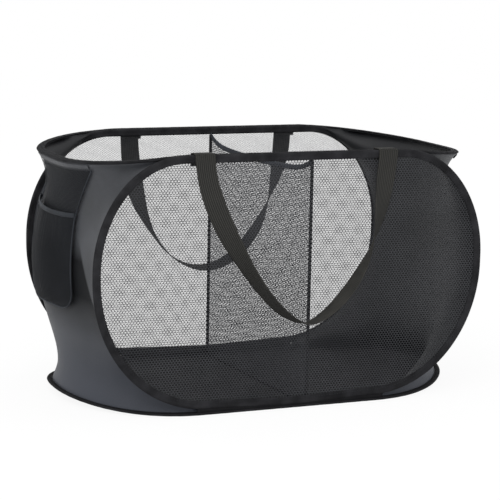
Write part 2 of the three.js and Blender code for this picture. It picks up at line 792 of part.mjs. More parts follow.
// Piping round the sides and the foot of the pocket's front
const lastRow = pocketFront.length - 1;
const lastColumn = pocketFront[0].length - 1;
const borderSpots = [
  ...pocketFront.map((row, i) => [i, 0]),
  ...pocketFront[0].map((point, j) => [lastRow, j]).slice(1, -1),
  ...pocketFront.map((row, i) => [lastRow - i, lastColumn]),
];
const pipingLine = borderSpots.map(([i, j]) => {
  const point = pocketFront[i][j];
  const placed = point.clone();
  const inner = [];
  if (j === 0) inner.push(pocketFront[i][1]);
  if (j === lastColumn) inner.push(pocketFront[i][lastColumn - 1]);
  if (i === lastRow) inner.push(pocketFront[lastRow - 1][j]);
  for (const other of inner) placed.addScaledVector(point.clone().sub(other).normalize(), piping.outset);
  return placed;
});
const pipingProfile = roundProfile(piping.radius, piping.sides, 0);
const pipingSections = pipingLine.map((point, k) => {
  const before = pipingLine[Math.max(0, k - 1)];
  const after = pipingLine[Math.min(pipingLine.length - 1, k + 1)];
  const course = after.clone().sub(before).normalize();
  const out = gridNormal(pocketFront, ...borderSpots[k]);
  const wide = course.clone().cross(out).normalize();
  const deep = wide.clone().cross(course).normalize();
  return pipingProfile.map(([u, v]) => point.clone().addScaledVector(wide, u).addScaledVector(deep, v));
});
addMesh('pocket_piping', barSolid(pipingSections, pipingProfile), finishes.hemCloth);

// Handles: the webbing hangs in a bow and twists edge on towards the bottom of it
const strapProfile = [
  [-webbing.width / 2, -webbing.thickness / 2],
  [webbing.width / 2, -webbing.thickness / 2],
  [webbing.width / 2, webbing.thickness / 2],
  [-webbing.width / 2, webbing.thickness / 2],
];
const bowDepth = backOuter + handle.bottomStandOff + webbing.width / 2;

function smooth(value) {
  const share = THREE.MathUtils.clamp(value, 0, 1);
  return share ** 2 * (3 - 2 * share);
}

function strapSections({ halfSpan, drop, bowPower, sway, leftTurn, rightTurn }, hang, top, side) {
  const { lerp, degToRad } = THREE.MathUtils;
  const points = [];
  for (let k = 0; k <= handle.steps; k += 1) {
    const turn = (Math.PI * k) / handle.steps;
    const across = -Math.sign(Math.cos(turn)) * Math.abs(Math.cos(turn)) ** (2 / bowPower);
    const down = Math.max(0, Math.sin(turn)) ** (2 / bowPower);
    const share = (down - handle.straightShare) / (1 - handle.straightShare);
    const twist = smooth(share / handle.twistShare);
    const turned = twist * degToRad(lerp(leftTurn, rightTurn, smooth(across + 1 / 2)));
    const depth = lerp(hang, bowDepth, Math.sin(Math.min(turned, Math.PI / 2)));
    const x = halfSpan * across + sway * twist;
    points.push({ point: new THREE.Vector3(x, side * depth, top - drop * down), turned });
  }
  return points.map(({ point, turned }, k) => {
    const isEnd = k === 0 || k === points.length - 1;
    const above = point.clone().setZ(isEnd ? point.z + webbing.width : point.z);
    const before = k === 0 ? above : points[k - 1].point;
    const after = k === points.length - 1 ? above : points[k + 1].point;
    const course = after.clone().sub(before);
    if (isEnd) course.set(0, 0, course.z);
    course.normalize();
    const flat = new THREE.Vector3(0, side, 0).cross(course).normalize();
    const deep = course.clone().cross(flat).normalize();
    const wide = flat.multiplyScalar(Math.cos(turned)).addScaledVector(deep, Math.sin(turned));
    const thick = course.clone().cross(wide).normalize();
    return strapProfile.map(([u, v]) => point.clone().addScaledVector(wide, u).addScaledVector(thick, v));
  });
}

const tabHalf = webbing.width / 2;
const tabInner = backOuter + gap.sewn;
const tabOuter = tabInner + webbing.thickness;
const frontHang = tabOuter + gap.sewn + webbing.thickness / 2;
const frontStrap = strapSections(frontHandle, frontHang, panelHead, -1);
addMesh('front_handle_strap', barSolid(frontStrap, strapProfile), finishes.webbingCloth);
for (const [name, side] of [['left', -1], ['right', 1]]) {
  const middle = side * frontHandle.halfSpan;
  const foot = panelHead - handle.tabHeight;
  const [low, high] = [[middle - tabHalf, -tabOuter, foot], [middle + tabHalf, -tabInner, panelHead]];
  addBlock(`front_handle_${name}_end`, low, high, finishes.webbingCloth);
}

// The back ends reach out below the rim, so that the strap hangs clear of it
const backTabTop = panelHead - tape.thickness - gap.sewn;
const backTabUnder = backTabTop - webbing.thickness;
const backTabFoot = backTabTop - handle.tabHeight;
const backHang = backOuter + handle.endStandOff;
const backTabReach = backHang - webbing.thickness / 2 - gap.sewn;
const backStrap = strapSections(backHandle, backHang, backTabTop - webbing.thickness / 2, 1);
addMesh('back_handle_strap', barSolid(backStrap, strapProfile), finishes.webbingCloth);
const backTabProfile = [
  [tabInner, backTabFoot],
  [tabOuter, backTabFoot],
  [tabOuter, backTabUnder],
  [backTabReach, backTabUnder],
  [backTabReach, backTabTop],
  [tabInner, backTabTop],
];
for (const [name, side] of [['left', -1], ['right', 1]]) {
  const sections = [-tabHalf, tabHalf].map((u) =>
    backTabProfile.map(([a, b]) => new THREE.Vector3(side * backHandle.halfSpan + u, a, b)),
  );
  addMesh(`back_handle_${name}_end`, barSolid(sections, backTabProfile), finishes.webbingCloth);
}

export default hamper;
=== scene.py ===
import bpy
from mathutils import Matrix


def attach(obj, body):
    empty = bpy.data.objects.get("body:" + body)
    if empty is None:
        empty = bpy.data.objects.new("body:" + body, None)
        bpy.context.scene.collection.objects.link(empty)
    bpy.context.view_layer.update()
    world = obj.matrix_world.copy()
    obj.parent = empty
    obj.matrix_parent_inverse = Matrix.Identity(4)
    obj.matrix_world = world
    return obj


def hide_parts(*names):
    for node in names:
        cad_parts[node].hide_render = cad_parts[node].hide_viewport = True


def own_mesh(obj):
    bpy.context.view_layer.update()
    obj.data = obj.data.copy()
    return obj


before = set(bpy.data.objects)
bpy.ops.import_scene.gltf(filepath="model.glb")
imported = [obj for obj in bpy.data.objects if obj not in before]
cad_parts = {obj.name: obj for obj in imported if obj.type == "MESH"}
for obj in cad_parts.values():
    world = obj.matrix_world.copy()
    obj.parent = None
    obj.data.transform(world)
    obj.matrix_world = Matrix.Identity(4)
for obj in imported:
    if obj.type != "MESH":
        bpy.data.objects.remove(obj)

"""Pop up laundry hamper: four bound wire loops, net panels, cloth ends, a net divider, a side
pocket and two webbing handles. Lengths are in metres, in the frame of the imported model."""

import logging
import math
from dataclasses import dataclass, field, replace
from enum import Enum
from typing import Callable, Iterable, Optional, Sequence

import bpy
import numpy as np
from mathutils import Matrix, Vector

logging.basicConfig(level=logging.INFO, format="%(message)s")
log = logging.getLogger("hamper")

MM = 0.001
TURN = 2 * math.pi
Array = np.ndarray
Place = Callable[[Array, Array, Array], Array]


# Finishes

def srgb(red: int, green: int, blue: int) -> tuple[float, float, float, float]:
    """Turns a display colour into a linear one, by the sRGB curve.

    Args:
        red, green, blue: display values from 0 to 255.
    Returns:
        The linear colour with an opaque alpha.
    """
    linear = [((c / 255 + 0.055) / 1.055) ** 2.4 if c > 10 else c / 255 / 12.92 for c in (red, green, blue)]
    return (*linear, 1.0)


class Graph:
    """Node tree of one material, with short calls to add and link nodes.

    A wave texture of scale 1 turns by WAVE_RADIANS radians a metre.
    """

    WAVE_RADIANS = 20

    def __init__(self, name: str) -> None:
        """Starts an empty material.

        Args:
            name: name of the material.
        """
        self.material = bpy.data.materials.new(name)
        self.material.use_nodes = True
        self.tree = self.material.node_tree
        self.tree.nodes.clear()
        self.output = self.tree.nodes.new("ShaderNodeOutputMaterial")

    def node(self, kind: str, links: Optional[dict] = None, **settings: object) -> bpy.types.Node:
        """Adds a node.

        Args:
            kind: node type without its ShaderNode prefix.
            links: input name or number to a value, or to an output socket to link.
            settings: properties of the node.
        Returns:
            The new node.
        """
        made = self.tree.nodes.new("ShaderNode" + kind)
        for key, value in settings.items():
            setattr(made, key, value)
        for key, value in (links or {}).items():
            if isinstance(value, bpy.types.NodeSocket):
                self.tree.links.new(value, made.inputs[key])
            else:
                made.inputs[key].default_value = value
        return made

    def noise(self, vector: bpy.types.NodeSocket, scale: float, detail: float = 3.0) -> bpy.types.NodeSocket:
        """Adds a noise texture and returns its grey value."""
        return self.node("TexNoise", {"Vector": vector, "Scale": scale, "Detail": detail}).outputs["Fac"]

    def wave(self, vector: bpy.types.NodeSocket, pitch: float, along: str, distortion: float = 0.0,
             ) -> bpy.types.NodeSocket:
        """Adds straight ribs.

        Args:
            vector: coordinate that they run in.
            pitch: distance between them in metres.
            along: X or Y, the axis that they cross.
            distortion: how uneven they are.
        Returns:
            Their grey value.
        """
        scale = TURN / (pitch * self.WAVE_RADIANS)
        return self.node("TexWave", {"Vector": vector, "Scale": scale, "Distortion": distortion},
                         wave_type="BANDS", bands_direction=along).outputs["Fac"]

    def math(self, operation: str, a: object, b: object) -> bpy.types.NodeSocket:
        """Adds a two-input sum of a given kind and returns its value."""
        return self.node("Math", {0: a, 1: b}, operation=operation).outputs[0]

    def mix(self, share: object, a: object, b: object) -> bpy.types.NodeSocket:
        """Mixes two colours by a share and returns the colour."""
        made = self.node("Mix", {0: share, 6: a, 7: b}, data_type="RGBA")
        return made.outputs[2]

    def overlay(self, share: float, base: bpy.types.NodeSocket, tone: bpy.types.NodeSocket,
                ) -> bpy.types.NodeSocket:
        """Lays a grey tone over a colour by a share and returns the colour."""
        made = self.node("Mix", {0: share, 6: base, 7: tone}, data_type="RGBA", blend_type="OVERLAY")
        return made.outputs[2]

    def ramp(self, value: bpy.types.NodeSocket, low: float, high: float) -> bpy.types.NodeSocket:
        """Stretches the values between low and high to run from 0 to 1."""
        return self.node("MapRange", {0: value, 1: low, 2: high}).outputs[0]

    def finish(self, shader: bpy.types.NodeSocket) -> bpy.types.Material:
        """Links the surface and returns the material."""
        self.tree.links.new(shader, self.output.inputs["Surface"])
        return self.material


@dataclass(frozen=True)
class Hollow:
    """Painted shade: a dark wedge painted into the cloth beside the pocket, standing in for the shadow in the
    crease there; in metres along the sheet and down it.
    """

    edge: float = 112 * MM
    top: float = 128 * MM
    slant: float = 0.56
    length: float = 100 * MM
    before: float = 2.5 * MM
    after: float = 3.5 * MM
    start_share: float = 0.35
    fade_share: float = 0.85
    end_share: float = 1.6
    strength: float = 0.9
    # Colour of the painted shade in the wedge.
    colour: tuple[int, int, int] = (17, 18, 20)

    def shade(self, g: Graph, weave: bpy.types.NodeSocket) -> bpy.types.NodeSocket:
        """Adds the painted shade wedge, which widens downwards and fades at its foot.

        Args:
            g: the material's graph.
            weave: the cloth coordinates.
        Returns:
            The share of painted shade, 0 on the open cloth.
        """
        parts = g.node("SeparateXYZ", {0: weave})
        down = g.math("SUBTRACT", parts.outputs["Y"], self.top)
        front = g.math("SUBTRACT", self.edge, g.math("MULTIPLY", down, self.slant))
        inner = g.ramp(g.math("SUBTRACT", parts.outputs["X"], front), -self.before, self.after)
        started = g.ramp(down, 0.0, self.start_share * self.length)
        fading = g.ramp(down, self.end_share * self.length, self.fade_share * self.length)
        whole = g.math("MULTIPLY", g.math("MULTIPLY", inner, started), fading)
        return g.math("MULTIPLY", whole, self.strength)


@dataclass(frozen=True)
class ClothFinish:
    """Plain cloth: a mottled colour that lightens on raised threads, with a fine weave; optionally painted
    light towards the foot, painted shade on the inner face and a painted shade wedge.
    """

    name: str
    colour: tuple[int, int, int]
    worn: tuple[int, int, int]
    roughness: float = 0.8
    sheen: float = 0.02
    shine: float = 0.12
    thread: float = 0.9 * MM
    mottle: float = 18.0
    bump: float = 0.25
    # Painted light: a lighter, bluer colour towards the foot of the cloth, below foot_height.
    painted_light_foot_colour: Optional[tuple[int, int, int]] = None
    foot_height: float = 0.16
    # Painted shade: a darker colour for the inner face, for the shade inside the hamper.
    painted_inner_shade: Optional[tuple[int, int, int]] = None
    # Painted shade wedge beside the pocket, if any.
    hollow: Optional[Hollow] = None
    mottle_range: tuple[float, float] = (0.35, 0.68)
    fibre_threads: float = 2.2
    unevenness: float = 0.6
    weave_share: float = 0.3
    relief: float = 0.3 * MM
    rough_range: float = 0.2
    fibre_share: float = 0.6
    tone_range: tuple[float, float] = (0.1, 0.9)
    sheen_roughness: float = 0.4

    def build(self) -> bpy.types.Material:
        """Makes the material. The weave runs in the piece's own UV.

        Returns:
            The material.
        """
        g = Graph(self.name)
        place = g.node("TexCoord").outputs["Object"]
        weave = g.node("UVMap", uv_map="cloth").outputs["UV"]
        mottle = g.ramp(g.noise(place, self.mottle, 4.0), *self.mottle_range)
        fibre = g.noise(weave, 1 / (self.fibre_threads * self.thread), 2.0)
        warp, weft = (g.wave(weave, self.thread, axis, self.unevenness) for axis in "XY")
        threads = g.math("MULTIPLY", warp, weft)
        base = g.mix(mottle, srgb(*self.colour), srgb(*self.worn))
        # Painted light: the cloth turns lighter and bluer towards its foot.
        if self.painted_light_foot_colour:
            height = g.node("SeparateXYZ", {0: place}).outputs["Z"]
            low = g.ramp(height, self.foot_height, 0.0)
            base = g.mix(low, base, srgb(*self.painted_light_foot_colour))
        # Painted shade: the inner face takes a darker colour, standing in for the shade inside the hamper.
        if self.painted_inner_shade:
            base = g.mix(g.node("NewGeometry").outputs["Backfacing"], base, srgb(*self.painted_inner_shade))
        shine: object = self.shine
        # Painted shade: a dark wedge beside the pocket, which also takes away the reflection there.
        if self.hollow:
            hollow = self.hollow.shade(g, weave)
            base = g.mix(hollow, base, srgb(*self.hollow.colour))
            shine = g.math("MULTIPLY", g.math("SUBTRACT", 1.0, hollow), self.shine)
        tone = g.math("ADD", g.math("MULTIPLY", threads, 0.5), g.math("MULTIPLY", fibre, self.fibre_share))
        colour = g.overlay(self.weave_share, base, g.ramp(tone, *self.tone_range))
        relief = g.math("ADD", threads, g.math("MULTIPLY", fibre, 0.5))
        bump = g.node("Bump", {"Strength": self.bump, "Distance": self.relief, "Height": relief})
        smoothest = self.roughness - self.rough_range / 2
        rough = g.math("ADD", g.math("MULTIPLY", fibre, self.rough_range), smoothest)
        shader = g.node("BsdfPrincipled", {"Base Color": colour, "Roughness": rough,
                                           "Normal": bump.outputs[0],
                                           "Sheen Weight": self.sheen, "Sheen Roughness": self.sheen_roughness,
                                           "Specular IOR Level": shine})
        return g.finish(shader.outputs[0])


@dataclass(frozen=True)
class TapeFinish:
    """Woven tape: ribs across its run, or also along it, a painted highlight along its edges, and lighter
    wear, both broken into blotches.
    """

    name: str
    colour: tuple[int, int, int]
    # Lighter colour used for the wear and for the painted highlight along the edges.
    worn: tuple[int, int, int]
    rib: float = 1.1 * MM
    width: float = 12 * MM
    lines: float = 0.0
    bump: float = 0.5
    roughness: float = 0.78
    # Width of the painted highlight band along each edge.
    highlight_band: float = 2.2 * MM
    blotch: float = 40.0
    blotch_range: tuple[float, float] = (0.3, 0.7)
    rib_share: float = 0.35
    relief: float = 0.35 * MM
    rib_unevenness: float = 0.8
    line_unevenness: float = 0.2
    line_relief: float = 1.2
    # Share of the painted edge highlight; worn_everywhere is the lighter wear all over.
    edge_highlight: float = 0.7
    worn_everywhere: float = 0.15
    sheen: float = 0.01
    shine: float = 0.1

    def build(self) -> bpy.types.Material:
        """Makes the material. U runs along the tape and V from one edge to the other.

        Returns:
            The material.
        """
        g = Graph(self.name)
        place = g.node("TexCoord").outputs["Object"]
        run = g.node("UVMap", uv_map="cloth").outputs["UV"]
        parts = g.node("SeparateXYZ", {0: run})
        ribs = g.wave(run, self.rib, "X", self.rib_unevenness)
        # Painted highlight: the tape lightens towards its edges, standing in for light on them; lighter wear
        # in blotches lies over the whole tape.
        middle = g.math("ABSOLUTE", g.math("SUBTRACT", parts.outputs["Y"], self.width / 2), 0.0)
        inner = g.ramp(middle, self.width / 2, self.width / 2 - self.highlight_band)
        edge = g.math("SUBTRACT", 1.0, inner)
        blotch = g.ramp(g.noise(place, self.blotch, 4.0), *self.blotch_range)
        worn = g.math("ADD", g.math("MULTIPLY", edge, self.edge_highlight), self.worn_everywhere)
        worn = g.math("MULTIPLY", worn, blotch)
        colour = g.mix(worn, srgb(*self.colour), srgb(*self.worn))
        relief = ribs
        if self.lines:
            lengthways = g.wave(run, self.lines, "Y", self.line_unevenness)
            relief = g.math("ADD", ribs, g.math("MULTIPLY", lengthways, self.line_relief))
            colour = g.mix(g.math("MULTIPLY", lengthways, self.rib_share), colour, srgb(*self.worn))
        ribbed = g.overlay(self.rib_share, colour, relief)
        bump = g.node("Bump", {"Strength": self.bump, "Distance": self.relief, "Height": relief})
        shader = g.node("BsdfPrincipled", {"Base Color": ribbed, "Roughness": self.roughness,
                                           "Normal": bump.outputs[0], "Sheen Weight": self.sheen,
                                           "Specular IOR Level": self.shine})
        return g.finish(shader.outputs[0])


@dataclass(frozen=True)
class ThreadFinish:
    """Bare thread of the nets and the stitching, with slight changes of tone."""

    name: str
    colour: tuple[int, int, int]
    pale: tuple[int, int, int]
    roughness: float = 0.7
    patch: float = 14.0
    patch_range: tuple[float, float] = (0.35, 0.7)
    strand: float = 900.0
    relief: float = 0.15 * MM
    bump: float = 0.3
    shine: float = 0.1

    def build(self) -> bpy.types.Material:
        """Makes the material from noise at the scale of a few threads.

        Returns:
            The material.
        """
        g = Graph(self.name)
        place = g.node("TexCoord").outputs["Object"]
        patch = g.ramp(g.noise(place, self.patch), *self.patch_range)
        strand = g.noise(place, self.strand, 2.0)
        share = g.math("MULTIPLY", patch, strand)
        colour = g.mix(share, srgb(*self.colour), srgb(*self.pale))
        bump = g.node("Bump", {"Strength": self.bump, "Distance": self.relief, "Height": strand})
        shader = g.node("BsdfPrincipled", {"Base Color": colour, "Roughness": self.roughness,
                                           "Normal": bump.outputs[0], "Specular IOR Level": self.shine})
        return g.finish(shader.outputs[0])


@dataclass(frozen=True)
class SteelFinish:
    """Drawn spring steel with fine lengthwise marks."""

    name: str = "spring_steel"
    colour: tuple[int, int, int] = (150, 152, 156)
    marked: tuple[int, int, int] = (108, 108, 110)
    marks: float = 600.0
    rough_range: float = 0.25

    def build(self) -> bpy.types.Material:
        """Makes the material.

        Returns:
            The material.
        """
        g = Graph(self.name)
        place = g.node("TexCoord").outputs["Object"]
        marks = g.noise(place, self.marks)
        colour = g.mix(marks, srgb(*self.colour), srgb(*self.marked))
        rough = g.math("ADD", g.math("MULTIPLY", marks, self.rough_range), self.rough_range)
        shader = g.node("BsdfPrincipled", {"Base Color": colour, "Metallic": 1.0, "Roughness": rough})
        return g.finish(shader.outputs[0])


class Finish(Enum):
    """The finishes that the pieces take, each with its material slot in the record."""

    # Each tape's second colour serves both its wear and its painted edge highlight.
    BINDING = ("binding", TapeFinish("binding_tape", (28, 28, 30), (54, 54, 57)))
    NET = ("mesh", ThreadFinish("net_thread", (64, 65, 68), (88, 89, 93)))
    FINE_NET = ("mesh", ThreadFinish("fine_net_thread", (22, 24, 28), (40, 42, 46)))
    # The end cloth's lighter, bluer foot colour is painted light.
    END = ("end_cloth", ClothFinish("smooth_end_cloth", (60, 62, 66), (74, 76, 81), 0.5, 0.03, 0.4,
                                    # The darker inner face colour of the end cloth is painted shade.
                                    painted_light_foot_colour=(66, 70, 80), painted_inner_shade=(32, 33, 36)))
    # Beside the pocket the end cloth also takes a painted shade wedge.
    POCKET_END = (END[0], replace(END[1], name="end_cloth_with_painted_shade", hollow=Hollow()))
    FLOOR = ("floor_cloth", ClothFinish("woven_floor_cloth", (40, 40, 42), (50, 50, 52)))
    HEM = ("hem_cloth", ClothFinish("folded_hem_cloth", (52, 55, 61), (72, 76, 84), 0.6))
    POCKET_HEM = ("hem_cloth", ClothFinish("pocket_hem_cloth", (44, 47, 52), (62, 66, 72), 0.6))
    WEBBING = ("webbing", TapeFinish("handle_webbing", (40, 40, 39), (58, 57, 54), 1.6 * MM, 30 * MM,
                                     3.0 * MM, 0.8))
    SEAM = ("binding", TapeFinish("seam_tape", (30, 30, 32), (48, 48, 51), 1.0 * MM, 5 * MM))
    STITCH = ("binding", ThreadFinish("stitch_thread", (46, 46, 49), (72, 72, 76)))
    STEEL = ("steel", SteelFinish())

    @property
    def slot(self) -> str:
        """Name of the record's material slot."""
        return self.value[0]

    def material(self) -> bpy.types.Material:
        """The finish's material, made on its first use."""
        made = bpy.data.materials.get(self.value[1].name)
        return made or self.value[1].build()


# Mesh tools

@dataclass
class Patch:
    """Points, faces and cloth coordinates of a piece while it is made."""

    points: Array
    faces: list[Array]
    cloth: Array
    normals: Optional[Array] = None

    @staticmethod
    def joined(patches: Iterable["Patch"]) -> "Patch":
        """Puts several patches into one.

        Args:
            patches: the patches, in order.
        Returns:
            The whole.
        """
        points, faces, cloth, start = [], [], [], 0
        for patch in patches:
            points.append(patch.points)
            faces += [part + start for part in patch.faces]
            cloth.append(patch.cloth)
            start += len(patch.points)
        return Patch(np.concatenate(points), faces, np.concatenate(cloth))

    def halves(self) -> tuple["Patch", "Patch"]:
        """Parts the faces left and right of the middle.

        Returns:
            The two patches.
        """
        parts = []
        for side in (-1, 1):
            kept = [part[self.points[part][..., 0].mean(axis=1) * side > 0] for part in self.faces]
            used = np.unique(np.concatenate([part.ravel() for part in kept]))
            order = np.full(len(self.points), -1)
            order[used] = np.arange(len(used))
            parts.append(Patch(self.points[used], [order[part] for part in kept], self.cloth[used]))
        return parts[0], parts[1]

    def to_object(self, name: str, finish: Finish, smooth: bool = True) -> bpy.types.Object:
        """Makes the Blender object.

        Args:
            name: name of the object.
            finish: what it is made of.
            smooth: shade the faces smoothly.
        Returns:
            The object, linked to the scene.
        """
        mesh = bpy.data.meshes.new(name)
        polygons = [face for part in self.faces for face in part.tolist()]
        mesh.from_pydata(self.points.tolist(), [], polygons)
        corners = np.empty(len(mesh.loops), dtype=np.int64)
        mesh.loops.foreach_get("vertex_index", corners)
        layer = mesh.uv_layers.new(name="cloth")
        layer.data.foreach_set("uv", self.cloth[corners].astype(np.float32).ravel())
        mesh.polygons.foreach_set("use_smooth", np.full(len(mesh.polygons), smooth))
        if self.normals is not None:
            mesh.normals_split_custom_set_from_vertices(self.normals.tolist())
        mesh.update()
        made = bpy.data.objects.new(name, mesh)
        bpy.context.scene.collection.objects.link(made)
        made.data.materials.append(finish.material())
        finish.slot
        log.info("%s: %d faces, %s", name, len(polygons), finish.name.lower())
        return made


def unit(vectors: Array) -> Array:
    """Scales vectors to length 1 along the last axis."""
    return vectors / np.maximum(np.linalg.norm(vectors, axis=-1, keepdims=True), 1e-12)


def run_lengths(points: Array) -> Array:
    """Distance along a line at each of its points."""
    return np.concatenate([[0.0], np.cumsum(np.linalg.norm(np.diff(points, axis=0), axis=1))])


def resampled(points: Array, count: int) -> Array:
    """Spreads equal steps along a line.

    Args:
        points: points of the line.
        count: number of steps.
    Returns:
        The points of the new line, one more than its steps.
    """
    lengths = run_lengths(points)
    wanted = np.linspace(0.0, lengths[-1], count + 1)
    return np.stack([np.interp(wanted, lengths, points[:, axis]) for axis in range(points.shape[1])], axis=1)


def sweep(spots: Array, wide: Array, deep: Array, contour: Array, closed: bool = False,
          swell: Optional[Array] = None) -> Patch:
    """Runs a closed contour along a line, and closes the ends of an open one.

    Args:
        spots: points of the line.
        wide, deep: directions of the contour's u and v at each point.
        contour: (u, v) points of the contour.
        closed: the line is a ring.
        swell: factor on v at each point of the line.
    Returns:
        The patch, with the run and the way round the contour as cloth coordinates.
    """
    count, ring = len(contour), len(spots)
    v = contour[None, :, 1] * (swell[:, None] if swell is not None else 1.0)
    points = spots[:, None] + wide[:, None] * contour[None, :, :1] + deep[:, None] * v[..., None]
    lengths = run_lengths(spots)
    girth = run_lengths(contour)
    cloth = np.stack(np.broadcast_arrays(lengths[:, None], girth[None, :]), axis=-1)
    steps = np.arange(ring if closed else ring - 1)
    rows, nexts = steps[:, None] * count, ((steps + 1) % ring)[:, None] * count
    k, after = np.arange(count)[None, :], (np.arange(count)[None, :] + 1) % count
    quads = np.stack([rows + k, nexts + k, nexts + after, rows + after], axis=-1).reshape(-1, 4)
    area = np.sum(contour[:, 0] * np.roll(contour[:, 1], -1) - np.roll(contour[:, 0], -1) * contour[:, 1])
    faces = [quads]
    if not closed:
        faces += [np.arange(count)[None, :], (ring - 1) * count + np.arange(count)[None, ::-1]]
    if area * np.dot(np.cross(wide[0], deep[0]), spots[1] - spots[0]) > 0:
        faces = [part[:, ::-1] for part in faces]
    return Patch(points.reshape(-1, 3), faces, cloth.reshape(-1, 2))


def rounded(half: float, face: float, count: int, u_power: float = 1.0, v_power: float = 1.0) -> Array:
    """Section with rounded edges.

    Args:
        half, face: half sizes in u and v.
        count: number of points.
        u_power, v_power: powers below 1 make it squarer.
    Returns:
        The (u, v) points.
    """
    turn = np.linspace(0, TURN, count + 1)[:-1]
    cos, sin = np.cos(turn), np.sin(turn)
    return np.stack([half * np.sign(cos) * np.abs(cos) ** u_power,
                     face * np.sign(sin) * np.abs(sin) ** v_power], axis=1)


def grid_patch(points: Array, cloth: Array, outward: Array, keep: Optional[Array] = None) -> Patch:
    """Faces a grid of points.

    Args:
        points: rows by columns by 3.
        cloth: rows by columns by 2.
        outward: direction that the faces look in.
        keep: which of the grid's cells have a face, all of them if left out.
    Returns:
        The patch, with the whole grid's normals, so that parts of one sheet shade as one.
    """
    rows, columns = points.shape[:2]
    i, j = np.meshgrid(np.arange(rows - 1), np.arange(columns - 1), indexing="ij")
    corner = i * columns + j
    quads = np.stack([corner, corner + 1, corner + columns + 1, corner + columns], axis=-1)
    normals = unit(np.cross(np.gradient(points, axis=1), np.gradient(points, axis=0)))
    if np.dot(normals[rows // 2, columns // 2], outward) < 0:
        normals = -normals
    facing = np.cross(points[0, 1] - points[0, 0], points[1, 1] - points[0, 1])
    if np.dot(facing, normals[0, 0]) < 0:
        quads = quads[..., ::-1]
    quads = quads[keep] if keep is not None else quads.reshape(-1, 4)
    used = np.unique(quads)
    order = np.full(rows * columns, -1)
    order[used] = np.arange(len(used))
    return Patch(points.reshape(-1, 3)[used], [order[quads]], cloth.reshape(-1, 2)[used],
                 normals.reshape(-1, 3)[used])


def inside(outline: Array, points: Array) -> Array:
    """Finds the points inside a closed flat outline.

    Args:
        outline: corners of the outline.
        points: points to sort.
    Returns:
        True for each point inside.
    """
    after = np.roll(outline, -1, axis=0)
    result = np.zeros(len(points), dtype=bool)
    for (ax, ay), (bx, by) in zip(outline, after):
        crosses = (ay > points[:, 1]) != (by > points[:, 1])
        if ay != by:
            result ^= crosses & (points[:, 0] < (bx - ax) * (points[:, 1] - ay) / (by - ay) + ax)
    return result


@dataclass(frozen=True)
class Net:
    """Knitted net: staggered six-sided holes with flat strands between them."""

    across: float = 4.7 * MM
    row: float = 3.3 * MM
    open_share: float = 0.66

    def patch(self, outline: Array, place: Callable[[Array], Array]) -> Patch:
        """Lays the net inside an outline.

        Args:
            outline: closed flat outline. Holes that cross it are left out.
            place: turns flat points into points in space.
        Returns:
            The strands, as one triangle where three holes meet and one quad between two.
        """
        low, high = outline.min(axis=0), outline.max(axis=0)
        columns = int((high[0] - low[0]) / self.across) + 2
        rows = int((high[1] - low[1]) / self.row) + 2
        i, j = np.meshgrid(np.arange(columns), np.arange(rows), indexing="ij")
        centres = np.stack([low[0] + (i + 0.5 * (j % 2)) * self.across, low[1] + j * self.row], axis=-1)
        kept = inside(outline, centres.reshape(-1, 2)).reshape(columns, rows)
        half, tall = self.across / 2, self.row * 2 / 3
        corner = np.array([(0, tall), (half, tall / 2), (half, -tall / 2), (0, -tall), (-half, -tall / 2),
                           (-half, tall / 2)]) * math.sqrt(self.open_share)
        points = centres[:, :, None] + corner
        index = np.where(kept, np.cumsum(kept.ravel()).reshape(kept.shape) - 1, -1)

        def near(di: Array, dj: int) -> Array:
            """Finds the hole at an offset from each hole.

            Args:
                di, dj: the offset in columns and rows.
            Returns:
                Its number, or -1 where there is none.
            """
            p, q = i + di, j + dj
            sound = (p >= 0) & (p < columns) & (q >= 0) & (q < rows)
            return np.where(sound, index[np.clip(p, 0, columns - 1), np.clip(q, 0, rows - 1)], -1)

        odd = j % 2
        right, upper_right, upper_left = near(1 + 0 * odd, 0), near(odd, 1), near(odd - 1, 1)

        def faces(*corners: tuple[Array, int]) -> Array:
            """Joins corners of holes where all the holes are there.

            Args:
                corners: each corner's hole, and its place round the hole.
            Returns:
                The faces.
            """
            there = kept & np.all([hole >= 0 for hole, spot in corners], axis=0)
            return np.stack([(hole * len(corner) + spot)[there] for hole, spot in corners], axis=-1)

        strands = [
            faces((index, 1), (right, 5), (right, 4), (index, 2)),
            faces((index, 0), (upper_right, 4), (upper_right, 3), (index, 1)),
            faces((index, 5), (upper_left, 3), (upper_left, 2), (index, 0)),
            faces((index, 0), (upper_left, 2), (upper_right, 4)),
            faces((index, 1), (upper_right, 3), (right, 5)),
        ]
        flat = points[kept].reshape(-1, 2)
        return Patch(place(flat), [part for part in strands if len(part)], flat)


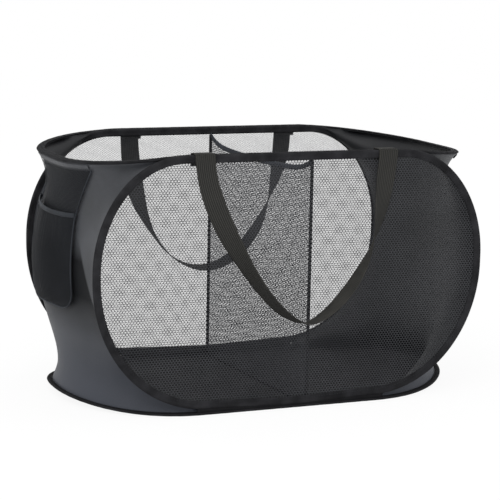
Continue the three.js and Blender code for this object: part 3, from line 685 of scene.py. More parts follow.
@dataclass(frozen=True)
class Stitches:
    """A row of small raised stitches."""

    pitch: float = 4.2 * MM
    length: float = 2.9 * MM
    width: float = 0.7 * MM
    rise: float = 0.3 * MM

    def patch(self, line: Array, out: Array) -> Patch:
        """Places the stitches.

        Args:
            line: points that the row follows.
            out: direction out of the cloth at each point.
        Returns:
            The stitches, each an eight-sided body.
        """
        lengths = run_lengths(line)
        count = max(1, int(lengths[-1] / self.pitch))
        wanted = (np.arange(count) + 0.5) * lengths[-1] / count
        spot = np.stack([np.interp(wanted, lengths, line[:, a]) for a in range(3)], axis=1)
        step = np.stack([np.interp(wanted + self.pitch / 4, lengths, line[:, a]) for a in range(3)], axis=1)
        out = unit(np.stack([np.interp(wanted, lengths, out[:, a]) for a in range(3)], axis=1))
        course = unit(step - spot)
        side = unit(np.cross(course, out))
        half, flank = course * self.length / 2, side * self.width / 2
        top, foot = out * self.rise, out * -self.rise / 2
        corners = [spot - half, spot + top, spot + flank, spot + foot, spot - flank, spot + half]
        points = np.stack(corners, axis=1)
        ring = [(1, 2), (2, 3), (3, 4), (4, 1)]
        shape = [(0, b, a) for a, b in ring] + [(5, a, b) for a, b in ring]
        faces = (np.arange(count) * 6)[:, None, None] + np.array(shape)[None]
        return Patch(points.reshape(-1, 3), [faces.reshape(-1, 3)], points.reshape(-1, 3)[:, :2])


def pucker(lengths: Array, pitch: float, seed: float) -> Array:
    """Soft uneven waves along a seam.

    Args:
        lengths: distances along the seam.
        pitch: length of the main wave.
        seed: shifts the waves.
    Returns:
        Heights from -1 to 1.
    """
    turn = TURN * lengths / pitch
    # Each wave's height, how often it turns and how far the seed shifts it
    parts = ((1.0, 1.0, 1.0), (0.7, 1.63, 2.1), (0.5, 0.37, 3.7))
    waves = sum(tall * np.sin(turn * often + seed * shift) for tall, often, shift in parts)
    return waves / sum(tall for tall, _, _ in parts)


@dataclass(frozen=True)
class Swell:
    """Soft changes of a strip's thickness along its run."""

    depth: float
    pitch: float
    seed: float

    def factors(self, spots: Array) -> Array:
        """Finds the factor on the thickness at each point of a strip's middle."""
        return 1 - self.depth + self.depth * pucker(run_lengths(spots), self.pitch, self.seed)


# Shape of the hamper

@dataclass(frozen=True)
class Shape:
    """Outline of a loop: straight runs with quarter-ellipse corners and a foot that may bow."""

    half: float
    low: float
    high: float
    head_across: float
    head_up: float
    foot_across: float
    foot_up: float
    crown: float = 0.0
    steps: int = 60

    def grown(self, offset: float) -> "Shape":
        """Makes the same outline, larger all round.

        Args:
            offset: how much larger on each side.
        Returns:
            The larger outline.
        """
        return replace(self, half=self.half + offset, low=self.low - offset, high=self.high + offset,
                       head_across=self.head_across + offset, head_up=self.head_up + offset,
                       foot_across=self.foot_across + offset, foot_up=self.foot_up + offset)

    def side_arc(self) -> Array:
        """Follows the right side from the head to the foot.

        Returns:
            The points of its two corners, with a straight run between them.
        """
        turn = np.linspace(0.0, math.pi / 2, self.steps)
        head = [self.half - self.head_across + self.head_across * np.sin(turn),
                self.high - self.head_up + self.head_up * np.cos(turn)]
        foot = [self.half - self.foot_across + self.foot_across * np.cos(turn),
                self.low + self.foot_up - self.foot_up * np.sin(turn)]
        return np.concatenate([np.stack(head, axis=1), np.stack(foot, axis=1)])

    def loop(self, count: int) -> Array:
        """Follows the whole outline, from the middle of the head and round to the right.

        Args:
            count: number of equal steps.
        Returns:
            The points.
        """
        right = self.side_arc()
        run = self.half - self.foot_across
        share = np.linspace(1.0, -1.0, self.steps)[1:-1]
        foot = np.stack([run * share, self.low - self.crown * (1 - share ** 2) ** 2], axis=1)
        left = right[::-1] * [-1, 1]
        start = np.array([[0.0, self.high]])
        return resampled(np.concatenate([start, right, foot, left, start]), count)[:-1]


@dataclass(frozen=True)
class Tape:
    """Folded tape that binds each loop."""

    width: float = 12 * MM
    thickness: float = 4.6 * MM
    lip: float = 1.4 * MM
    fold: float = 4.4 * MM
    bead: float = 3.4 * MM
    stations: int = 420
    stitch_inset: float = 3.0 * MM
    swell: float = 0.09
    swell_pitch: float = 23 * MM

    def contour(self) -> Array:
        """Draws the tape's section: a bead over the wire, a groove beside it and two lips.

        Returns:
            The (u, v) points.
        """
        half, face = self.width / 2, self.thickness / 2
        bead_in = half - 2 * self.bead
        upper = [(half, 0.0), (half - 0.25 * self.bead, 0.62 * face), (half - 0.6 * self.bead, 0.95 * face),
                 (half - self.bead, face), (half - 1.5 * self.bead, 0.93 * face), (bead_in, 0.72 * face),
                 (bead_in - 0.12 * self.width, 0.82 * face), (0.12 * self.width - half, 0.74 * face),
                 (-half, self.lip), (-half, self.lip / 2), (self.fold - half, self.lip / 3)]
        return np.array(upper + [(u, -v) for u, v in upper[:0:-1]])


@dataclass(frozen=True)
class Body:
    """Sizes that the whole hamper shares."""

    tape: Tape = field(default_factory=Tape)
    spacing: float = 355 * MM
    seat: float = 0.8 * MM
    sewn: float = 0.4 * MM
    pass_gap: float = 0.3 * MM
    side_pass: float = 0.6 * MM
    half_width: float = 304 * MM
    height: float = 365 * MM
    crown: float = 4 * MM
    base_half: float = 312 * MM
    base_across: float = 175 * MM
    base_deep: float = 168 * MM
    end_lift: float = 12 * MM
    rim_across: float = 113 * MM
    rim_deep: float = 140 * MM
    end_droop: float = 15 * MM
    droop_reach: float = 156 * MM
    droop_power: float = 1.25
    lift_power: float = 3.0
    sheet: float = 1.0 * MM
    panel_head: tuple[float, float] = (131 * MM, 160 * MM)
    panel_foot: tuple[float, float] = (170 * MM, 190 * MM)

    @property
    def half_thick(self) -> float:
        """Half of the tape's thickness."""
        return self.tape.thickness / 2

    @property
    def plane(self) -> float:
        """Distance of the front and back panels from the middle."""
        return self.spacing / 2

    @property
    def foot(self) -> float:
        """Height of the panels' lower edge."""
        return self.tape.thickness + self.seat

    @property
    def head(self) -> float:
        """Height of the panels' upper edge."""
        return self.foot + self.tape.width + self.height

    @property
    def outer(self) -> float:
        """Distance of the panels' outer faces from the middle."""
        return self.plane + self.half_thick

    @property
    def sheet_depth(self) -> float:
        """How far the end panels reach towards the front and back panels."""
        return self.plane - self.half_thick - self.sewn - self.sheet / 2

    @property
    def panel(self) -> Shape:
        """Outline of the front and back loops."""
        half = self.tape.width / 2
        return Shape(self.half_width, self.foot + half + self.crown, self.head - half, *self.panel_head,
                     *self.panel_foot, self.crown)

    @property
    def base(self) -> Shape:
        """Outline of the base loop."""
        deep = self.outer - self.tape.width / 2
        return Shape(self.base_half, -deep, deep, self.base_across, self.base_deep, self.base_across,
                     self.base_deep)

    @property
    def rim(self) -> Shape:
        """Outline of the rim loop, which lies behind the front loop and over the back one.

        Returns:
            The outline.
        """
        low = -(self.plane - self.half_thick) + self.pass_gap + self.tape.width / 2
        high = self.outer + self.pass_gap + self.tape.width / 2
        return Shape(self.half_width + self.tape.width + self.side_pass, low, high, self.rim_across,
                     self.rim_deep, self.rim_across, self.rim_deep)

    def base_height(self, x: Array) -> Array:
        """Height of the base loop's middle."""
        share = np.maximum(0, np.abs(x) - (self.base_half - self.base_across)) / self.base_across
        return self.half_thick + self.end_lift * share ** self.lift_power

    def rim_height(self, x: Array) -> Array:
        """Height of the rim loop's middle."""
        share = np.maximum(0, np.abs(x) - (self.rim.half - self.droop_reach)) / self.droop_reach
        return self.head - self.half_thick - self.end_droop * share ** self.droop_power


BODY = Body()


def place_front(a: Array, b: Array, v: Array) -> Array:
    """Places points of the front panel."""
    return np.stack(np.broadcast_arrays(a, v - BODY.plane, b), axis=-1)


def place_back(a: Array, b: Array, v: Array) -> Array:
    """Places points of the back panel."""
    return np.stack(np.broadcast_arrays(a, v + BODY.plane, b), axis=-1)


def place_base(a: Array, b: Array, v: Array) -> Array:
    """Places points of the base."""
    return np.stack(np.broadcast_arrays(a, b, BODY.base_height(a) + v), axis=-1)


def place_rim(a: Array, b: Array, v: Array) -> Array:
    """Places points of the rim."""
    return np.stack(np.broadcast_arrays(a, b, BODY.rim_height(a) + v), axis=-1)


class Loop(Enum):
    """The four bound loops, each with the body that carries it."""

    FRONT = "front_panel"
    BACK = "back_panel"
    BASE = "base"
    RIM = "rim"

    @property
    def label(self) -> str:
        """Name that the loop's pieces start with."""
        return self.name.lower()

    @property
    def shape(self) -> Shape:
        """Outline of the loop."""
        return {"front": BODY.panel, "back": BODY.panel, "base": BODY.base, "rim": BODY.rim}[self.label]

    @property
    def place(self) -> Place:
        """How its flat points lie in space."""
        return {"front": place_front, "back": place_back, "base": place_base, "rim": place_rim}[self.label]


class FoldAway(Enum):
    """Which loop each soft piece between the loops rides on."""

    TO_BASE = ("base", "front_fold", 0.006, 0.015)
    TO_RIM = ("rim", "rim_level", 0.376, 0.015)

    def carry(self, piece: bpy.types.Object) -> None:
        """Makes a piece ride on its loop.

        Args:
            piece: the soft piece.
        """
        body, joint, height, keep = self.value
        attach(piece, body)
        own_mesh(piece)


# Loops and flat panels

@dataclass
class BoundLoop:
    """Binding of one loop, with its stitching. The wire and ferrule inside it are CAD nodes."""

    loop: Loop
    stitches: Stitches = field(default_factory=Stitches)
    seam_over: float = 16 * MM
    seam_thickness: float = 1.6 * MM
    seam_steps: int = 60
    stitch_level: float = 0.84

    def build(self) -> None:
        """Makes the binding and its two rows of stitches."""
        tape = BODY.tape
        outline = self.loop.shape.loop(tape.stations)
        turn = np.roll(outline, 1, axis=0) - np.roll(outline, -1, axis=0)
        out = unit(np.stack([turn[:, 1], -turn[:, 0]], axis=1))
        place, contour = self.loop.place, tape.contour()
        lengths = run_lengths(outline)
        seed = 1.0 + list(Loop).index(self.loop)
        swell = 1.0 - tape.swell * (0.5 + 0.5 * pucker(lengths, tape.swell_pitch, seed))
        spots = place(outline[:, 0], outline[:, 1], 0.0)
        ahead = place(outline[:, 0] + out[:, 0] * tape.width, outline[:, 1] + out[:, 1] * tape.width, 0.0)
        above = place(outline[:, 0], outline[:, 1], tape.width)
        binding = sweep(spots, unit(ahead - spots), unit(above - spots), contour, True, swell=swell)
        if self.loop in (Loop.FRONT, Loop.BACK):
            binding = Patch.joined([binding, self.seam_allowance()])
        piece = binding.to_object(f"{self.loop.label}_bound_edge", Finish.BINDING)
        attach(piece, self.loop.value)
        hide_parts(f"{self.loop.label}_binding")

        inset = tape.width / 2 - tape.stitch_inset
        ring = outline - out * inset
        ring = np.concatenate([ring, ring[:1]])
        rows = []
        for side in (-1, 1):
            line = place(ring[:, 0], ring[:, 1], side * self.stitch_level * BODY.half_thick)
            away = place(ring[:, 0], ring[:, 1], side * tape.width) - place(ring[:, 0], ring[:, 1], 0.0)
            rows.append(self.stitches.patch(line, away))
        thread = Patch.joined(rows).to_object(f"{self.loop.label}_bound_edge_stitches", Finish.STITCH, False)
        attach(thread, self.loop.value)

    def seam_allowance(self) -> Patch:
        """Makes the strip below a panel's binding, where it is sewn down to the base.

        Returns:
            The strip, closed at its ends.
        """
        shape = self.loop.shape
        reach = shape.half - shape.foot_across + self.seam_over
        x = np.linspace(-reach, reach, self.seam_steps)
        share = np.clip(x / (shape.half - shape.foot_across), -1, 1)
        top = shape.low - shape.crown * (1 - share ** 2) ** 2 - BODY.tape.width / 4
        foot = BODY.base_height(x)
        middle, half = (top + foot) / 2, (top - foot) / 2
        rings = [self.loop.place(x, middle + sign * half, face * self.seam_thickness / 2)
                 for sign, face in ((1, 1), (1, -1), (-1, -1), (-1, 1))]
        points = np.stack(rings, axis=1)
        rows = np.arange(self.seam_steps - 1)[:, None] * 4
        k, after = np.arange(4)[None, :], (np.arange(4)[None, :] + 1) % 4
        quads = np.stack([rows + after, rows + 4 + after, rows + 4 + k, rows + k], axis=-1).reshape(-1, 4)
        last = (self.seam_steps - 1) * 4
        ends = [np.array([[0, 1, 2, 3]]), np.array([[last + 3, last + 2, last + 1, last]])]
        cloth = np.stack([np.repeat(x, 4), points[..., 2].ravel()], axis=-1)
        return Patch(points.reshape(-1, 3), [quads, *ends], cloth)

    def dress(self) -> None:
        """Gives the wire and its ferrule their steel."""
        for name in ("wire", "ferrule"):
            for material_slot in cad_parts[f"{self.loop.label}_{name}"].material_slots:
                material_slot.material = Finish.STEEL.material()


@dataclass
class NetPanel:
    """Net of the front or back panel, with slight give in its middle."""

    loop: Loop
    net: Net = field(default_factory=Net)
    halved: bool = False
    tuck: float = 5 * MM
    give: float = 1.2 * MM
    give_pitch: float = 190 * MM
    give_slant: float = 0.4
    edge_steps: int = 240

    def build(self) -> None:
        edge = self.loop.shape.grown(self.tuck - BODY.tape.width / 2).loop(self.edge_steps)
        low, high = edge.min(axis=0), edge.max(axis=0)

        def lay(flat: Array) -> Array:
            """Places the net with a soft wave that dies away at its edge.

            Args:
                flat: points of the flat net.
            Returns:
                The points in space.
            """
            share = np.clip((flat - low) / (high - low), 0, 1)
            fade = np.sin(math.pi * share[:, 0]) * np.sin(math.pi * share[:, 1])
            wave = np.sin(TURN * (flat[:, 0] + self.give_slant * flat[:, 1]) / self.give_pitch)
            return self.loop.place(flat[:, 0], flat[:, 1], self.give * fade * wave)

        whole = self.net.patch(edge, lay)
        parts = dict(zip(("_left", "_right"), whole.halves())) if self.halved else {"": whole}
        for suffix, patch in parts.items():
            piece = patch.to_object(f"{self.loop.label}_net{suffix}", Finish.NET, False)
            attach(piece, self.loop.value)
            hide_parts(f"{self.loop.label}_mesh")


@dataclass
class Floor:
    """Cloth floor, sewn into the base loop and following its lift."""

    tuck: float = 5 * MM
    columns: int = 120
    rows: int = 60
    wave: float = 0.5 * MM
    wave_pitch: float = 90 * MM
    cross_ratio: float = 1.3
    slant_ratio: float = 0.6

    def build(self) -> None:
        edge = BODY.base.grown(self.tuck - BODY.tape.width / 2)
        x = edge.half * np.sin(np.linspace(-math.pi / 2, math.pi / 2, self.columns + 1))
        over = np.clip((np.abs(x) - (edge.half - edge.head_across)) / edge.head_across, 0, 1)
        reach = edge.high - edge.head_up + edge.head_up * np.sqrt(1 - over ** 2)
        share = np.linspace(-1, 1, self.rows + 1)
        a, b = np.broadcast_arrays(x[None, :], share[:, None] * reach[None, :])
        turn = TURN / self.wave_pitch
        fade = (1 - share[:, None] ** 2) * (1 - (a / edge.half) ** 2)
        waves = np.sin(turn * a) * np.cos(turn * b * self.cross_ratio)
        waves = waves + np.sin(turn * (a + b) * self.slant_ratio)
        points = place_base(a, b, self.wave * fade * waves)
        cloth = np.stack([a, b], axis=-1)
        piece = grid_patch(points, cloth, np.array([0, 0, 1])).to_object("floor_cloth", Finish.FLOOR)
        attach(piece, "base")
        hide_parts("floor_panel")


# Cloth ends

@dataclass(frozen=True)
class Folds:
    """A group of soft folds in an end, in shares of its height and run, with their waves."""

    depth: float
    waves_down: float
    waves_along: float
    phase: float = 0.0
    down: float = 0.0
    reach_down: float = math.inf
    along: float = 0.0
    reach_along: float = math.inf

    def depths(self, down: Array, along: Array) -> Array:
        """Measures the folds.

        Args:
            down, along: shares of the end's height and run.
        Returns:
            How deep they are there, from 0 up.
        """
        near = ((down - self.down) / self.reach_down) ** 2 + ((along - self.along) / self.reach_along) ** 2
        turn = TURN * (self.waves_down * down + self.waves_along * along + self.phase)
        return self.depth * np.exp(-near) * (0.5 + 0.5 * np.sin(turn))


@dataclass
class EndCloth:
    """One end: a sheet stretched between the four loops, a little fuller in its middle."""

    side: int
    rows: int = 80
    columns: int = 64
    passes: int = 5000
    inset: float = 4.5 * MM
    rim_outset: float = 3 * MM
    base_inset: float = 3 * MM
    fullness: float = 43 * MM
    full_power: float = 0.8
    low_power: float = 1.3
    rear_power: float = 1.4
    ease_share: float = 0.1
    folds: tuple[Folds, ...] = (
        Folds(2.2 * 0.9 * MM, 1.3, 3.2, down=0.86, reach_down=0.13),
        Folds(2.2 * 0.9 * MM, 4.0, -2.5, down=0.75, reach_down=0.22, along=0.12, reach_along=0.12),
        Folds(2.2 * 0.4 * MM, 0.6, 0.9, 0.2),
    )
    flat_share: float = 1 / 12
    pucker_depth: float = 0.9 * MM
    pucker_pitch: float = 14 * MM
    pucker_foot: float = 0.05
    pucker_head: float = 0.04
    pucker_head_share: float = 0.6
    hem_height: float = 9 * MM
    hem_levels: tuple[float, ...] = (0.0, 0.12, 0.5, 0.88, 1.0)
    hem_rises: tuple[float, ...] = (0.7 * MM, 1.5 * MM, 1.7 * MM, 1.5 * MM, 0.7 * MM)
    hem_puff: float = 0.25 * MM
    hem_pitch: float = 0.034
    hem_fold: float = 1.25
    hem_stitch_level: float = 0.8
    hem_stitch_rise: float = 1.75 * MM
    hem_reach: float = 122 * MM
    tuck: float = 2.6 * MM

    def __post_init__(self) -> None:
        """Settles the grid and finds its outward normals."""
        self.grid = self.relaxed()
        normals = unit(np.cross(np.gradient(self.grid, axis=0), np.gradient(self.grid, axis=1)))
        self.normals = normals * np.sign(normals[..., :1]) * self.side

    @property
    def label(self) -> str:
        """Name of the side."""
        return "left" if self.side < 0 else "right"

    def ring_edge(self, shape: Shape, outset: float, height: Callable[[Array], Array]) -> Array:
        """Follows the rim or the base, from front to back.

        Args:
            shape: outline of the loop.
            outset: how far outside it the edge lies.
            height: height of the edge at each distance from the middle.
        Returns:
            The points of the edge.
        """
        arc = shape.grown(outset).side_arc()[::-1]
        depth = np.clip(arc[:, 1], -BODY.sheet_depth, BODY.sheet_depth)
        edge = np.stack([self.side * arc[:, 0], depth, height(arc[:, 0])], axis=1)
        return resampled(edge, self.columns)

    def panel_edge(self, depth: float, first: Array, last: Array) -> Array:
        """Follows the front or back panel, from the rim down, eased into the corners.

        Args:
            depth: place of the edge from front to back.
            first, last: the corners that it starts and ends in.
        Returns:
            The points of the edge.
        """
        arc = BODY.panel.grown(-self.inset).side_arc()
        edge = np.stack([self.side * arc[:, 0], np.full(len(arc), depth), arc[:, 1]], axis=1)
        edge = resampled(edge, self.rows)
        share = np.linspace(0, 1, self.rows + 1)[:, None] / self.ease_share
        upper = np.clip(1 - share, 0, 1)
        lower = np.clip(1 - share[::-1], 0, 1)
        return edge + (first - edge[0]) * upper + (last - edge[-1]) * lower

    def shares(self) -> tuple[Array, Array]:
        """Shares of the height and of the run at each point of the grid."""
        down, along = np.linspace(0, 1, self.rows + 1), np.linspace(0, 1, self.columns + 1)
        return tuple(np.meshgrid(down, along, indexing="ij"))

    def relaxed(self) -> Array:
        """Settles a sheet between the four edges and fills it out.

        Returns:
            The grid, rows by columns by 3.
        """
        off = BODY.half_thick + BODY.sewn + BODY.sheet / 2
        top = self.ring_edge(BODY.rim, self.rim_outset, lambda a: BODY.rim_height(a) - off)
        foot = self.ring_edge(BODY.base, -self.base_inset, lambda a: BODY.base_height(a) + off)
        front = self.panel_edge(-BODY.sheet_depth, top[0], foot[0])
        back = self.panel_edge(BODY.sheet_depth, top[-1], foot[-1])
        across = np.linspace(0, 1, self.columns + 1)[None, :, None]
        grid = front[:, None] * (1 - across) + back[:, None] * across
        grid[0], grid[-1] = top, foot
        for _ in range(self.passes):
            grid[1:-1, 1:-1] = (grid[:-2, 1:-1] + grid[2:, 1:-1] + grid[1:-1, :-2] + grid[1:-1, 2:]) / 4
        down, along = self.shares()
        share = np.sin(math.pi * down ** self.low_power) ** self.full_power
        share = share * np.sin(math.pi * along ** self.rear_power)
        grid[..., 0] += self.side * self.fullness * share
        return grid

    def at(self, down: Array, along: Array, rise: Array) -> Array:
        """Finds points raised off the outer face.

        Args:
            down, along: shares of the sheet's height and run.
            rise: how far they are raised.
        Returns:
            The points.
        """
        down, along, rise = np.broadcast_arrays(down, along, rise)
        p, q = np.clip(down, 0, 1) * self.rows, np.clip(along, 0, 1) * self.columns
        i = np.minimum(p.astype(int), self.rows - 1)
        j = np.minimum(q.astype(int), self.columns - 1)
        p, q = (p - i)[..., None], (q - j)[..., None]

        def mixed(values: Array) -> Array:
            """Mixes the values of the four nearest points of the grid.

            Args:
                values: a value for each point of the grid.
            Returns:
                The mixed values.
            """
            upper = values[i, j] * (1 - q) + values[i, j + 1] * q
            lower = values[i + 1, j] * (1 - q) + values[i + 1, j + 1] * q
            return upper * (1 - p) + lower * p

        return mixed(self.grid) + unit(mixed(self.normals)) * rise[..., None]

    def raised(self, down: Array, along: Array, rise: Array) -> tuple[Array, Array]:
        """Finds points raised off the outer face, and the direction out of it at each."""
        points = self.at(down, along, rise)
        return points, unit(self.at(down, along, rise + 1.0) - points)

    def wrinkled(self) -> Array:
        """Presses the folds and the puckers of the seams into the sheet, all inwards.

        Returns:
            The grid with them.
        """
        down, along = self.shares()
        near = np.minimum(np.minimum(down, 1 - down), np.minimum(along, 1 - along))
        edge = np.minimum(1, near / self.flat_share)
        folds = edge * sum(group.depths(down, along) for group in self.folds)
        run = along * run_lengths(self.grid[0])[-1]
        ends = np.exp(-((1 - down) / self.pucker_foot) ** 2)
        ends = ends + self.pucker_head_share * np.exp(-(down / self.pucker_head) ** 2)
        seam = self.pucker_depth * ends * edge * (0.5 + 0.5 * pucker(run, self.pucker_pitch, 2.0))
        return self.grid - self.normals * (folds + seam)[..., None]

    def tucked(self, points: Array) -> Array:
        """Adds a row or column on each side that reaches into the binding there.

        Args:
            points: the sheet, rows by columns by 3.
        Returns:
            The larger sheet.
        """
        up = np.array([0.0, 0.0, self.tuck])
        behind = np.array([0.0, self.tuck, 0.0])
        points = np.concatenate([points[:1] + up, points, points[-1:] - up])
        return np.concatenate([points[:, :1] - behind, points, points[:, -1:] + behind], axis=1)

    def build(self) -> None:
        """Makes the end in two halves, one that rides on the base and one on the rim."""
        points = self.tucked(self.wrinkled())
        tall = float(np.mean([run_lengths(column)[-1] for column in self.grid.transpose(1, 0, 2)]))
        wide = float(np.mean([run_lengths(row)[-1] for row in self.grid]))
        shares = [np.linspace(-1 / count, 1 + 1 / count, count + 3) for count in (self.rows, self.columns)]
        i, j = np.meshgrid(*shares, indexing="ij")
        cloth = np.stack([j * wide, i * tall], axis=-1)
        lower = (i >= j)[:-1, :-1]
        outward = np.array([self.side, 0, 0])
        halves = (("lower", lower, FoldAway.TO_BASE, "base"), ("upper", ~lower, FoldAway.TO_RIM, "rim"))
        for part, keep, away, ring in halves:
            patch = grid_patch(points, cloth, outward, keep)
            # The left end, which carries the pocket, takes the painted shade wedge.
            finish = Finish.POCKET_END if self.side < 0 else Finish.END
            piece = patch.to_object(f"{self.label}_end_cloth_{part}", finish)
            away.carry(piece)
            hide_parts(f"{self.label}_end_panel")
        self.build_hem()

    def build_hem(self) -> None:
        """Makes the hem under the rim, in the end's own cloth, and its row of stitches."""
        top = self.grid[0]
        middle = (BODY.rim.low + BODY.rim.high) / 2
        along = np.linspace(0, 1, self.columns * 2 + 1)
        depth = np.interp(along * self.columns, np.arange(self.columns + 1), top[:, 1])
        along = along[np.abs(depth - middle) < self.hem_reach]
        tall = run_lengths(self.grid[:, self.columns // 2])[-1]
        levels = np.array(self.hem_levels) * self.hem_height / tall
        down, run = np.meshgrid(levels, along, indexing="ij")
        puff = np.array(self.hem_rises)[:, None] + self.hem_puff * pucker(run, self.hem_pitch, 1.0)
        points = self.at(down, run, puff)
        cloth = np.stack([run * run_lengths(top)[-1], down * tall], axis=-1)
        hem = grid_patch(points, cloth, np.array([self.side, 0, 0]))
        piece = hem.to_object(f"{self.label}_rim_hem", Finish.END)
        FoldAway.TO_RIM.carry(piece)
        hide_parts(f"{self.label}_top_hem")
        wide = float(run_lengths(points[len(levels) // 2])[-1])
        line, out = self.raised(self.hem_stitch_level * self.hem_height / tall, along, self.hem_stitch_rise)
        row = Stitches().patch(line, out).to_object(f"{self.label}_rim_hem_stitches", Finish.STITCH, False)
        FoldAway.TO_RIM.carry(row)


# Divider

@dataclass
class Divider:
    """Net wall across the middle, with a sagging bound top and three seam tapes."""

    net: Net = field(default_factory=lambda: Net(4.2 * MM, 2.9 * MM, 0.45))
    head_drop: float = 13 * MM
    sag: float = 20 * MM
    steep_share: float = 0.7
    steep_power: float = 8.0
    foot: float = 5.6 * MM
    hem_width: float = 8 * MM
    hem_thickness: float = 3.2 * MM
    tape_width: float = 5 * MM
    tape_thickness: float = 1.4 * MM
    steps: int = 90
    front_shift: float = 24 * MM
    lean: float = 2.5 * MM
    clearance: float = 0.6 * MM
    side_layer: float = 0.8 * MM
    floor_layer: float = 0.9 * MM
    lean_waves: float = 1.3
    run_steps: int = 120
    hem_swell: Swell = Swell(0.08, 15 * MM, 1.3)
    tape_swell: Swell = Swell(0.1, 19 * MM, 0.7)
    stitch_level: float = 0.9
    stitch_down: float = 0.45

    @property
    def half(self) -> float:
        """How far the wall reaches from the middle."""
        return BODY.plane - BODY.half_thick - BODY.sewn

    def across(self, y: Array) -> Array:
        """Place of the wall across the hamper, which slants to the right towards the front."""
        return self.front_shift * (self.half - np.asarray(y)) / (2 * self.half)

    def hem_height(self, y: Array) -> Array:
        """Finds the height of the middle of the top hem.

        Args:
            y: place from front to back.
        Returns:
            The height there.
        """
        s = np.abs(y) / self.half
        sag = self.steep_share * (1 - s ** self.steep_power) + (1 - self.steep_share) * (1 - s ** 2)
        return BODY.head - self.head_drop - self.sag * sag

    def build(self) -> None:
        """Makes the wall, its hem and its tapes."""
        y = self.half * -np.cos(np.linspace(0, math.pi, self.steps + 1))
        top = np.stack([y, self.hem_height(y)], axis=1)
        edge = np.concatenate([[[-self.half, self.foot], [self.half, self.foot]], top[::-1]])

        def lay(flat: Array) -> Array:
            """Places the wall with a soft lean that dies away at its seams.

            Args:
                flat: points of the flat net, from front to back and up.
            Returns:
                The points in space.
            """
            s, t = flat[:, 0] / self.half, flat[:, 1] / BODY.head
            bow = (1 - s ** 2) * np.sin(math.pi * np.clip(t, 0, 1))
            x = self.lean * bow * np.sin(math.pi * (s * self.lean_waves + t))
            return np.stack([x + self.across(flat[:, 0]), flat[:, 0], flat[:, 1]], axis=-1)

        wall = self.net.patch(edge, lay).to_object("divider_net", Finish.NET, False)
        FoldAway.TO_BASE.carry(wall)
        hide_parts("divider_mesh")
        self.build_hem(resampled(top, self.run_steps))
        self.build_tapes()

    def build_hem(self, top: Array) -> None:
        """Makes the folded hem along the top and its stitching.

        Args:
            top: points of the hem's middle, from front to back and up.
        """
        half, face = self.hem_width / 2, self.hem_thickness / 2
        contour = rounded(half, face, 16, 0.6, 0.8)
        spots = np.stack([self.across(top[:, 0]), top[:, 0], top[:, 1]], axis=1)
        up = np.tile([0.0, 0.0, 1.0], (len(spots), 1))
        side = np.tile([1.0, 0.0, 0.0], (len(spots), 1))
        swell = self.hem_swell.factors(spots)
        hem = sweep(spots, up, side, contour, swell=swell).to_object("divider_hem", Finish.HEM)
        FoldAway.TO_BASE.carry(hem)
        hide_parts("divider_top_hem")
        line = spots - up * self.stitch_down * half
        rows = [Stitches().patch(line + side * sign * self.stitch_level * face, side * sign)
                for sign in (-1, 1)]
        thread = Patch.joined(rows).to_object("divider_hem_stitches", Finish.STITCH, False)
        FoldAway.TO_BASE.carry(thread)

    def build_tapes(self) -> None:
        """Makes the tapes that sew the wall to the two panels and to the floor."""
        low = BODY.foot + BODY.tape.width + self.clearance
        high = BODY.head - BODY.tape.width - self.clearance
        inner = BODY.plane - self.side_layer - self.tape_thickness / 2
        floor = BODY.half_thick + self.floor_layer + self.tape_thickness / 2
        reach = BODY.base.high - BODY.tape.width / 2 - self.clearance
        front, back, shift = self.across(-reach), self.across(reach), self.front_shift
        lines = {
            "front": ((shift, -inner, low), (shift, -inner, high), (0, 1, 0), "front_panel"),
            "back": ((0, inner, low), (0, inner, high), (0, -1, 0), "back_panel"),
            "floor": ((front, -reach, floor), (back, reach, floor), (0, 0, 1), "base"),
        }
        half, face = self.tape_width / 2, self.tape_thickness / 2
        contour = np.array([(-half, -face), (0, -face), (half, -face), (half, 0.4 * face), (0.4 * half, face),
                            (0, 0.7 * face), (-0.4 * half, face), (-half, 0.4 * face)])
        for name, (start, end, out, body) in lines.items():
            spots = np.linspace(start, end, self.run_steps)
            deep = np.tile(np.array(out, dtype=float), (len(spots), 1))
            wide = np.tile([1.0, 0.0, 0.0], (len(spots), 1))
            tape = sweep(spots, wide, deep, contour, swell=self.tape_swell.factors(spots))
            piece = tape.to_object(f"divider_{name}_seam", Finish.SEAM)
            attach(piece, body)
            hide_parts(f"divider_{name}_tape")


# Pocket

